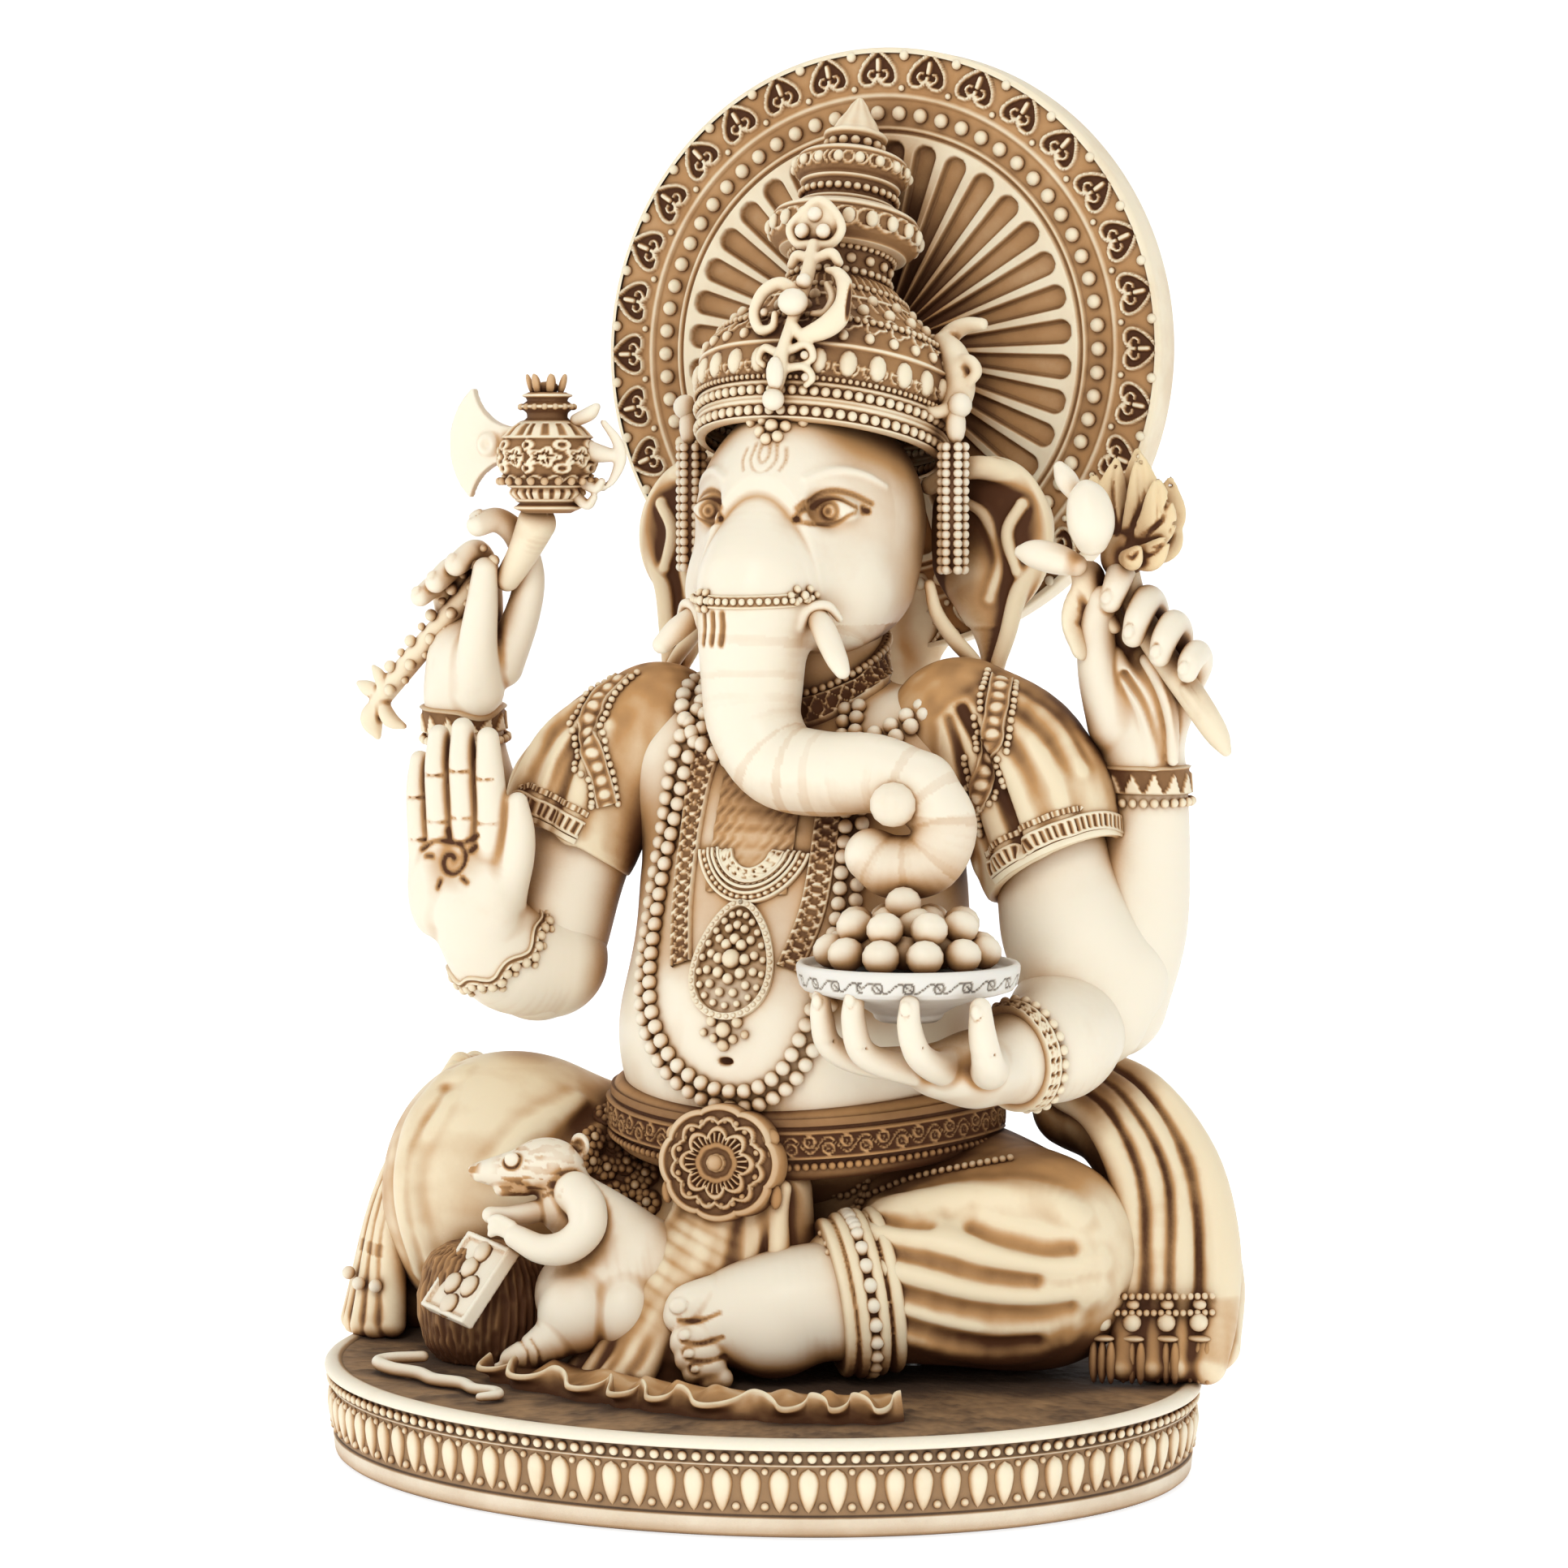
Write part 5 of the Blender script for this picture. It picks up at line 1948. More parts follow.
def make_shawls():
    """The shawl ends: vertical folds beside the right knee, and the fall behind the left with its tasselled edge."""
    clay = Clay((-104, -14, BASE_TOP - 1), (-56, 48, 86), 0.55)
    for k, (top, middle_spot, foot) in enumerate((
        ((-84, 22, 76), (-94, 8, 52), (-98, -2, 22)), ((-82, 18, 77), (-92, 4, 52), (-95, -6, 22)),
        ((-80, 14, 77), (-89.5, 0, 50), (-91.5, -9, 22)),
        ((-79, 10, 76), (-87, -3, 48), (-87.5, -10, 22)), ((-78, 8, 74), (-84.6, -5, 46), (-83.5, -10, 23)),
        ((-84, 28, 76), (-94, 16, 54), (-98.5, 5, 22)),
        ((-83, 34, 72), (-92, 26, 50), (-96, 16, 22)), ((-80, 38, 70), (-88, 34, 48), (-91, 28, 22)),
    )):
        clay.limb([(*top, 2.6), (*middle_spot, 2.9), (*foot, 2.9)], 0.9)
    clay.limb([(-80, 24, 70, 8), (-86, 16, 50, 8), (-88, 8, 26, 8)], 2.5)
    clay.limb([(-76, 33, 64, 6.5), (-83, 27, 48, 8), (-88, 20, 34, 8), (-89, 16, 24, 8)], 2.5)
    clay.slab((0, 0, -1), -BASE_TOP + 0.4)

    def extra(points):
        streak = noise(points * np.array([1, 1, 0.15]), 2.2, 25)
        hem = (points[:, 2] < 40) & (points[:, 2] > 37.6)
        return 0.25 * streak + 0.35 * hem + 0.25 * smooth_step(34, 24, points[:, 2])

    clay_piece("shawl_right", clay, cloth_resin, ["shawl_right"], stain=0.14, gain=2.0, extra=extra)
    kit = Kit()
    kit.beads([(-96.0, -7.5, 33), (-91.4, -11, 31.5), (-86.4, -12.4, 31.5)], 1.5, 0.03)
    kit_piece("shawl_right_pearls", kit, skin_resin)

    clay = Clay((44, -4, BASE_TOP - 1), (104, 64, 88), 0.55)
    clay.limb([(54, 44, 72, 9), (66, 40, 68, 9.5), (78, 34, 54, 9.5), (85, 28, 38, 9), (87, 22, 26, 9)], 3)
    inner = [
        [(54, 34, 76), (66, 26, 72), (75, 20, 60), (78.5, 14, 44), (79, 10, 24)],
        [(55, 38, 79), (68, 31, 74), (79, 24, 61), (83, 17, 44), (84, 12, 24)],
        [(56, 42, 81), (71, 35, 75), (83, 28, 61), (87.5, 20, 44), (89, 14.5, 24)],
    ]
    for rows in inner:
        clay.limb([(*spot, 2.6 + 0.25 * k) for k, spot in enumerate(rows)], 1.4)
    clay.limb(
        [
            (56, 46, 82.5, 3.0), (72, 42, 77, 3.6), (86, 34, 64, 4.4), (93, 27, 48, 4.8), (95, 21, 34, 4.6),
            (94.5, 17, 24, 4.2)
        ],
        1.6
    )
    clay.limb([(52, 50, 78, 4), (66, 50, 70, 5), (80, 44, 56, 6), (90, 34, 40, 6), (93, 27, 26, 5)], 3)
    clay.slab((0, 0, -1), -BASE_TOP + 0.4)

    def extra_left(points):
        outer = smooth_step(26, 34, points[:, 1])
        streak = noise(points * np.array([1, 1, 0.2]), 2.2, 26)
        tassel = smooth_step(40, 37, points[:, 2]) * smooth_step(32, 18, points[:, 1])
        return 0.25 * streak + 0.42 * tassel + 0.28 * (1 - outer) * smooth_step(92, 84, points[:, 0])

    clay_piece("shawl_left", clay, cloth_resin, ["shawl_left"], stain=0.05, gain=1.8, extra=extra_left)
    kit = Kit()
    for x, y in ((75.4, 9.5), (81.2, 11.5), (87.6, 14.5), (93.6, 17.5)):
        kit.beads([(x, y - 3.0, 33.2)], 2.0, 0.03)
        kit.beads([(x, y - 2.6, 36.8)], 1.0, 0.1, np.diag([1.5, 1.2, 1.2]))
        for u in (-1.9, 0, 1.9):
            kit.beads([(x + u, y - 2.8, 24.8)], 1.0, 0.35, np.diag([1.05, 1.2, 4.6]))
        kit.beads([(x, y - 2.9, 29.8)], 1.0, 0.12, np.diag([2.7, 1.3, 0.75]))
    for z in (35.2, 38.6):
        row = even(np.array([(72.5, 7.8, z), (79, 8.2, z), (85, 11, z), (90.5, 13.6, z), (96, 17, z)]), 1.5)
        kit.beads(row + np.array([0, -1.2, 0]), 0.72, 0.15)
    kit_piece("shawl_left_tassels", kit, relief_resin)


# ---- ornaments of the body ---------------------------------------------------------------------------------


def necklaces(body):
    """Woven collar, double pearl collar, the long double pearl rope, the stoles, crescents and pendant."""
    kit = Kit()

    def front_of(pairs):
        """Points of the body's front at (x, z) pairs."""
        return body.drop(np.array([(x, -50.0, z) for x, z in pairs]))

    def hoop(height_front, height_back):
        """A loop round the neck, cast inward on to the body; its front is lower than its back."""
        neck_x, neck_y, reach = 0.5, 24.0, 60
        rows = []
        for a in np.linspace(0, 2 * math.pi, 44, endpoint=False):
            way = np.array([math.sin(a), -math.cos(a), 0])
            z = height_back + (height_front - height_back) * (0.5 + 0.5 * math.cos(a)) ** 1.1
            rows.append((neck_x + reach * way[0], neck_y + reach * way[1], z, *(-way)))
        rows = np.array(rows)
        points = rows[:, :3].copy()
        for _ in range(60):
            points = points + STRIDE * np.clip(body.sample(points), -3, 3)[:, None] * rows[:, 3:]
        return np.vstack([points, points[:1]])

    collar = hoop(156.5, 172.5)
    kit.band(body, collar, 7.4, knotwork(6.6), lift=1.1, out=0.5, dark=1.0)
    kit.beads(body.project(even(hoop(160.6, 175), 1.7), 1.3), 0.85, 0.06)
    kit_piece("collar", kit, relief_resin, ["collar"])
    kit = Kit()
    strands = (
        [
            (38, 166), (34.6, 160.8), (29.5, 156), (23, 152.4), (14, 149.6), (4, 148.6), (-6, 149.6), (-14, 153.4),
            (-19.5, 160), (-22, 167)
        ],
        [
            (36.4, 161.2), (32.4, 155.4), (26.5, 151), (20, 148.4), (12, 146), (3, 145), (-7, 146), (-15.5, 150),
            (-21.4, 156.6), (-24.6, 164)
        ],
    )
    for strand in strands:
        on_chest = front_of(curve(strand))
        kit.beads(body.project(even(on_chest[on_chest[:, 1] < 30], 3.6), 1.3), 1.75, 0.0)
    kit_piece("chest_pearls", kit, skin_resin, ["chest_pearls"])

    kit = Kit()
    right_outer = [
        (-17, 160), (-20.5, 150), (-22.5, 138), (-24, 126), (-24.5, 114), (-23.5, 102), (-20, 91), (-13.5, 82.5),
        (-5, 77.8), (2, 76.6)
    ]
    left_outer = [
        (2, 76.6), (9, 78), (15.5, 83), (20, 92), (22, 102), (22.8, 114), (22.6, 126), (22, 138), (20, 150), (18, 158)
    ]
    rope = curve([(x, -50, z) for x, z in right_outer + left_outer[1:]])
    rope = body.drop(rope)
    for row in (0.0, 3.35):
        line = body.project(even(rope, 1.0))
        along = np.gradient(line, axis=0)
        side = np.cross(along, body.slope(line))
        side /= np.linalg.norm(side, axis=1, keepdims=True)
        shifted = body.project(line - side * row)
        kit.beads(body.project(even(shifted, 3.3), 1.15), 1.6, 0.05)
    kit_piece("pearl_necklace", kit, skin_resin, ["pearl_necklace"])

    kit = Kit()
    for side in (-1, 1):
        stole = front_of(
            [(side * 13.5, 152), (side * 15.2, 140), (side * 15.6, 128), (side * 15, 116), (side * 12.5, 105)]
        )
        kit.band(body, stole, 6.0, knotwork(5.0), lift=0.9, out=0.3, dark=0.72)
    arc = np.linspace(math.radians(200), math.radians(340), 24)
    for reach, width, relief, z in (
        (12.2, 3.0, studs(1.6), 133), (9.4, 2.2, bars(1.4), 132.5), (6.4, 3.4, vine(4.2), 131)
    ):
        moon = front_of([(0.5 + reach * math.cos(a), z + reach * 1.15 * math.sin(a)) for a in arc])
        kit.band(body, moon, width, relief, lift=0.9, out=0.5, dark=0.85)
    patch = front_of(
        [(x, z) for z in np.linspace(120, 150, 26) for x in np.linspace(-9.5, 9.5, 16)]
    ).reshape(26, 16, 3)
    u = np.arange(16)[None] / 15.0 - 0.5
    v = np.arange(26)[:, None] / 25.0 - 0.5
    mesh_relief = np.maximum(np.cos((u * 14 + v * 16) * math.pi), np.cos((u * 14 - v * 16) * math.pi)) * 0.5 + 0.5
    lifted = body.project(patch.reshape(-1, 3), 0.3).reshape(patch.shape)
    lifted[..., 1] -= 0.6 * mesh_relief
    kit.grid(lifted, np.clip(0.66 - 0.42 * mesh_relief, 0, 1))
    drop_centre = (0.2, 106.5)
    outline = [
        (
            drop_centre[0] + 8.4 * math.sin(a) * (1 - 0.28 * math.cos(a)), drop_centre[1] + 11.4 * math.cos(a)
        ) for a in np.linspace(0, 2 * math.pi, 40)
    ]
    frame_line = front_of(outline)
    kit.band(body, frame_line, 1.6, plain(1.0), lift=0.9, out=0.5, dark=0.4)
    kit.beads(body.project(even(frame_line, 1.6), 1.3), 0.55, 0.05)
    rng = np.random.default_rng(9)
    for ring, count, size in ((0.0, 1, 2.1), (0.36, 8, 1.25), (0.62, 13, 1.0), (0.84, 20, 0.8)):
        a = np.arange(count) * 2 * math.pi / count
        spots = front_of(
            [
                (
                    drop_centre[0] + ring * 8.2 * math.sin(t) * (1 - 0.28 * math.cos(t)),
                    drop_centre[1] + ring * 11 * math.cos(t)
                ) for t in a
            ]
        )
        kit.beads(body.project(spots, 0.9), size, 0.05 * rng.random())
    for x, z, size in (
        (0.3, 92.4, 1.7), (-2.6, 94, 1.2), (3.2, 94, 1.2), (0.3, 89.2, 1.3), (-1.9, 90.6, 1.0), (2.5, 90.6, 1.0),
        (-4.4, 91.6, 0.9), (5, 91.6, 0.9)
    ):
        kit.beads(body.project(front_of([(x, z)]), 0.7), size, 0.08)
    kit_piece("chest_pendant", kit, relief_resin, ["chest_pendant"])


def make_belt(body):
    """The scrolled belt, its looped bead fringe, and the lobed buckle."""
    kit = Kit()
    spin = np.linspace(0, 2 * math.pi, 90)
    waist = np.column_stack([1.5 + 39.4 * np.sin(spin), 20 - 33.6 * np.cos(spin), 68.4 + 3.4 * np.sin(spin) ** 2])
    outward = waist[:, :2] - np.array([1.5, 20])
    outward /= np.linalg.norm(outward, axis=1, keepdims=True)
    for _ in range(14):
        waist[:, :2] += np.clip(0.6 - body.sample(waist), 0, 2)[:, None] * outward * (waist[:, 1:2] > 30)
    clay = Clay((-56, -26, 56), (60, 76, 82), 0.7)
    for z in (64.5, 69, 73.5):
        ring = waist + np.array([0, 0, z - 69.2])
        clay.limb(np.column_stack([ring, np.full(len(ring), 3.0)]), 3, smooth=0)
    line = clay.project(waist * np.array([1.06, 1.06, 1]) - np.array([0, 1.2, 0]))
    kit.band(clay, line, 6.4, vine(7.6, 1.1), lift=1.2, out=0.3, dark=1.0, across=17)
    top_line = clay.project(line + np.array([0, 0, 4.6]))
    kit.band(clay, top_line, 1.8, plain(0.45), lift=0.6, out=0.2, dark=0.8)
    kit.beads(clay.project(even(line + np.array([0, 0, -4.4]), 1.8), 0.6), 0.85, 0.12)
    clay_piece("belt", clay, relief_resin, ["belt"], stain=0.85)
    kit.wash = [0.4 + 0.6 * wash for wash in kit.wash]
    kit_piece("belt_relief", kit, relief_resin)

    buckle = Kit()
    centre = np.array([1.6, -20.6, 65.2])
    facing = unit((0.08, -1, 0.12))
    across = unit(np.cross(facing, (0, 0, 1)))
    up = np.cross(across, facing)
    count, rings = 240, 46
    spin = np.linspace(0, 2 * math.pi, count, endpoint=False)
    edge = 11.6 * (1 + 0.07 * np.abs(np.cos(4 * spin)) ** 0.6)
    edge = edge * (1 + 0.10 * np.abs(np.cos(spin)) ** 2)
    r = np.linspace(0.01, 1, rings)
    petals = np.abs(np.cos(4 * spin[:, None]))
    relief = 0.55 * ridge((r[None] - 0.30) * 11, 0.6)
    relief = np.maximum(relief, ridge((r[None] - (0.45 + 0.12 * petals)) * 11, 0.55))
    relief = np.maximum(relief, ridge((r[None] - (0.66 + 0.10 * np.abs(np.sin(6 * spin[:, None])))) * 11, 0.5))
    relief = np.maximum(relief, ridge((r[None] - 0.93) * 11, 0.7))
    relief = np.maximum(relief, (r[None] < 0.16) * 1.0)
    relief = np.maximum(
        relief, ridge(((spin[:, None] * 16 / math.pi) % 1 - 0.5) * 1.6, 0.35) * (r[None] > 0.36) * (r[None] < 0.5)
    )
    dome = 3.4 * np.sqrt(np.clip(1 - (r[None] * 0.92) ** 2, 0, 1)) + 1.1 * relief
    dome[:, -1] = -2.0
    flat = centre + (
        edge[:, None] * r[None] * np.cos(spin)[:, None]
    )[..., None] * across + (edge[:, None] * r[None] * np.sin(spin)[:, None])[..., None] * up
    buckle.grid(flat + dome[..., None] * facing, np.clip(0.8 - 0.75 * relief, 0.05, 1), around=True)
    ring = [
        centre + 8.9 * (math.cos(a) * across + math.sin(a) * up) + 2.9 * facing for a in np.arange(22) * math.pi / 11
    ]
    buckle.beads(ring, 0.75, 0.1)
    buckle.beads([centre + 4.4 * facing], 1.7, 0.08)
    for side in (-1, 1):
        for k in range(3):
            buckle.beads(
                [centre + side * (10.5 + 0.5 * k) * across + (5.5 - 3.2 * k) * up + 0.6 * facing], 2.0 - 0.25 * k,
                0.25
            )
        buckle.beads([centre + side * 12.0 * across - 6.5 * up - 0.2 * facing], 1.0, 0.3, np.diag([1.3, 1.3, 2.6]))
    buckle.wash = [0.22 + 0.55 * wash for wash in buckle.wash]
    kit_piece("belt_buckle", buckle, relief_resin, ["belt_buckle"])


def bead_loops(legs):
    """Hanging loops of small beads over the left thigh and the cluster of florets at the right hip."""
    kit = Kit()
    rows = [
        [(18, -24, 66), (20, -25, 58), (24, -24, 53), (29, -22, 54), (33, -20, 60), (35, -18, 66)],
        [(20, -24, 64), (23, -25, 56), (27, -23, 51.5), (31, -21, 54), (33.5, -19, 60)],
        [(27, -24, 52), (27.6, -24, 48.5)],
        [(34, -18, 60), (42, -16, 63.5), (52, -12, 66), (60, -6, 67.5)],
        [(24, -22, 68), (26, -23, 62), (30, -21, 60), (34, -18, 64)],
    ]
    for spots in rows:
        line = legs.seen(even(curve(spots), 1.55))
        kit.beads(line + 0.5 * legs.slope(line), 0.78, 0.12)
    rng = np.random.default_rng(14)
    florets = [
        (-33, -6, 71), (-30, -8, 66), (-36, -7, 66), (-26.5, -10, 62), (-31.5, -10, 60.5), (-23, -12, 57.5),
        (-28, -12, 55.5), (-19.5, -14, 60.5), (-19, -14, 54.5), (-36.5, -8, 61.5), (-25, -9, 68)
    ]
    for x, y, z in florets:
        centre = legs.seen(np.array([(x, y, z)]))[0]
        out = legs.slope(centre[None])[0]
        across = unit(np.cross(out, (0, 0, 1)))
        up = np.cross(across, out)
        spin = np.arange(7) * 2 * math.pi / 7 + rng.random()
        ring = centre + 1.9 * (np.cos(spin)[:, None] * across + np.sin(spin)[:, None] * up) + 0.8 * out
        kit.beads(ring, 1.0, 0.45)
        kit.beads([centre + 1.4 * out], 1.05, 0.2)
        kit.beads([centre], 1.0, 0.9, np.column_stack([across * 3.2, up * 3.2, out * 1.0]))
    kit_piece("lap_jewels", kit, relief_resin)


# ---- axe and lotus -----------------------------------------------------------------------------------------


def make_axe():
    """The staff with its beaded vine and leaf end, the pot-shaped socket, the crescent blade and the back fluke."""
    clay = Clay((-110, -6, 146), (-46, 22, 206), 0.45)
    clay.limb([(-99, 12.5, 157.5, 2.2), (-90, 10, 166, 2.5), (-80, 7.5, 175, 2.5), (-70, 5, 184, 2.4)], 1)
    clay.limb([(-62, 4, 185, 2.8), (-58, 3, 190, 3.3), (-53.5, 1.5, 197, 4.2)], 1)
    leaves = (
        [(-98, 12, 159, 1.2), (-101.5, 12.5, 160, 1.8), (-104.5, 13, 161.2, 0.7)],
        [(-98.5, 12, 157, 1.6), (-101, 12.5, 153.5, 2.6), (-99.5, 12.5, 149.5, 0.8)],
        [(-98, 12, 157, 1.4), (-95.5, 11, 153.5, 1.8), (-92, 11, 152, 0.7)],
        [(-97, 11, 160, 1.2), (-97.5, 10, 163, 1.4), (-99, 10, 165, 0.6)],
    )
    for rows in leaves:
        clay.limb(rows, 0.7)
    clay_piece("axe_staff", clay, relief_resin, ["axe_staff"], stain=0.42, gain=1.8)
    kit = Kit()
    along = unit((1, -0.28, 1.0))
    side = unit(np.cross(along, (0, 1, 0.1)))
    for k, t in enumerate(np.linspace(0.05, 0.98, 11)):
        centre = np.array([-97, 11.8, 159.5]) + t * np.array([33, -9, 31])
        shift = side * (1.7 if k % 2 else -1.7)
        kit.beads([centre + shift + np.array([-0.3, -2.2, 0.2])], 1.35, 0.0)
        kit.beads([centre - shift * 1.4 + np.array([0, -1.4, 0])], 0.9, 0.1)
    kit_piece("axe_staff_beads", kit, relief_resin)

    low, high = corners("axe_pot")
    base, height = low[2] + 2.2, (high[2] - low[2]) - 1.8
    profile = np.array([
        (0.2, 0.0), (5.0, 0.0), (6.4, 0.8), (6.6, 1.8), (5.8, 2.6), (6.8, 3.6), (7.6, 4.6), (7.2, 5.6), (8.2, 6.6),
        (9.6, 9.2), (10.2, 12.0), (10.1, 14.6), (9.2, 17.4), (7.2, 19.8), (5.2, 21.2), (4.3, 22.2), (4.4, 23.2),
        (5.3, 24.0), (5.3, 25.2), (4.3, 26.0), (4.7, 27.2), (4.2, 28.0), (0.2, 27.2),
    ])
    scale = height / 29.0
    run = np.concatenate([[0], np.cumsum(np.hypot(*np.diff(profile, axis=0).T))])
    steps = np.linspace(0, run[-1], 110)
    radii, levels = np.interp(steps, run, profile[:, 0]), base + scale * np.interp(steps, run, profile[:, 1])

    def relief(a, t):
        h = (t - base) / scale
        body_zone = (h > 8.5) & (h < 17.5)
        u = (a / 5.0) % 1 - 0.5
        away, turn_of = np.hypot(u * 5.0, h - 13), np.arctan2(h - 13, u * 5.0)
        flower = ridge(away - 1.7 - 0.45 * np.cos(5 * turn_of), 0.45)
        petals = np.maximum(ridge(np.sin(turn_of * 2.5), 0.3) * (away < 1.7), away < 0.6)
        v = (a / 5.0 + 0.5) % 1 - 0.5
        for middle_h in (10.4, 15.8):
            petals = np.maximum(petals, ridge(np.hypot(v * 5.0, h - middle_h) - 0.95, 0.4))
        leaf = ridge(((a / 2.7) % 1 - 0.5), 0.3) * ((h > 17.8) & (h < 20.6))
        scallop = ridge(h - 7.6 - 0.9 * np.abs(np.sin(a * math.pi / 2.7)), 0.4)
        foot = ridge(((a / 1.9) % 1 - 0.5), 0.32) * ((h > 3.4) & (h < 5.6))
        rings = np.maximum.reduce([ridge(h - at, 0.4) for at in (1.2, 2.9, 6.2, 17.7, 21.0, 24.6, 27.2)])
        return np.maximum.reduce([np.maximum(flower, petals) * body_zone, leaf, scallop, foot, rings])

    kit = Kit()
    kit.turned((POT[0], POT[1], 0), (0, 0, 1), (0, -1, 0), radii, levels, relief, lift=0.75, sides=260, dark=0.62)
    top = base + height
    for k in range(7):
        a = 2 * math.pi * k / 7
        tilt = np.array([math.cos(a), math.sin(a), 0])
        shape = np.column_stack([np.cross((0, 0, 1), tilt) * 0.95, tilt * 0.7, np.array([0, 0, 2.4]) + tilt * 0.7])
        kit.beads([np.array([POT[0], POT[1], top + 0.6]) + 3.6 * tilt], 1.0, 0.3, shape)
    kit.beads([(POT[0], POT[1], top)], 1.0, 0.6, np.diag([2.6, 2.6, 1.4]))
    ring = [
        (
            POT[0] + 10.3 * math.cos(a), POT[1] + 10.3 * math.sin(a), base + scale * 7.4
        ) for a in np.arange(22) * math.pi / 11
    ]
    kit.beads(ring, 0.85, 0.25)
    ring = [
        (
            POT[0] + 5.7 * math.cos(a), POT[1] + 5.7 * math.sin(a), base + scale * 24.6
        ) for a in np.arange(16) * math.pi / 8
    ]
    kit.beads(ring, 0.7, 0.2)
    kit_piece("axe_pot", kit, relief_resin, ["axe_pot"])

    clay = Clay((-80, -9, 194), (-26, 9, 234), 0.4)
    y = -0.4
    x, yy, z = clay.grid()
    outer = np.hypot(x + 58.5, z - 213.9) - 15.1
    bites = np.maximum(9.9 - np.hypot(x + 57.5, z - 227.5), 10.2 - np.hypot(x + 58.2, z - 200.2))
    thin = np.abs(yy - y) - (0.3 + 0.12 * np.clip(x + 74, 0, 14))
    clay.d = np.clip(np.maximum(np.maximum(outer, bites), np.maximum(thin, x + 56)), -9, 9).astype(np.float32)
    clay.egg((-63.4, y - 1.4, 213.9), (2.7, 1.4, 2.7), 0.4)
    clay.egg((-63.4, y - 3.0, 213.9), (1.6, 0.9, 1.6), 0.2, cut=True)
    clay.limb([(-43, 1, 213, 2.6), (-38.5, 1, 212, 2.0), (-35, 1, 211.5, 1.4)], 0.6)
    clay.limb(
        [
            (-37, 1, 218.5, 0.7), (-33.8, 1, 214.5, 1.2), (-33.0, 1, 210.6, 1.4), (-34.8, 1, 206.4, 0.9),
            (-37, 1, 204.4, 0.5)
        ],
        0.6, flat=(0, 1, 0), squeeze=0.6
    )
    for rows in ([
        (-43, 0, 219, 1.4), (-39.8, 0, 220.4, 1.5), (-38.2, 0, 221.8, 0.9)
    ], [(-42, 0, 206, 1.3), (-38.5, 0, 204.5, 1.1), (-37, 0, 206, 0.8)],
                 [(-44, 0, 203.5, 1.3), (-40.5, 0, 201, 1.1), (-38.8, 0, 202.6, 0.8)]):
        clay.limb(rows, 0.5)
    clay_piece("axe_blade", clay, skin_resin, ["axe_blade"], stain=0.04, gain=1.4,
               extra=lambda points: 0.5 * smooth_step(-64, -58, points[:, 0]) * smooth_step(-34, -38, points[:, 0]))


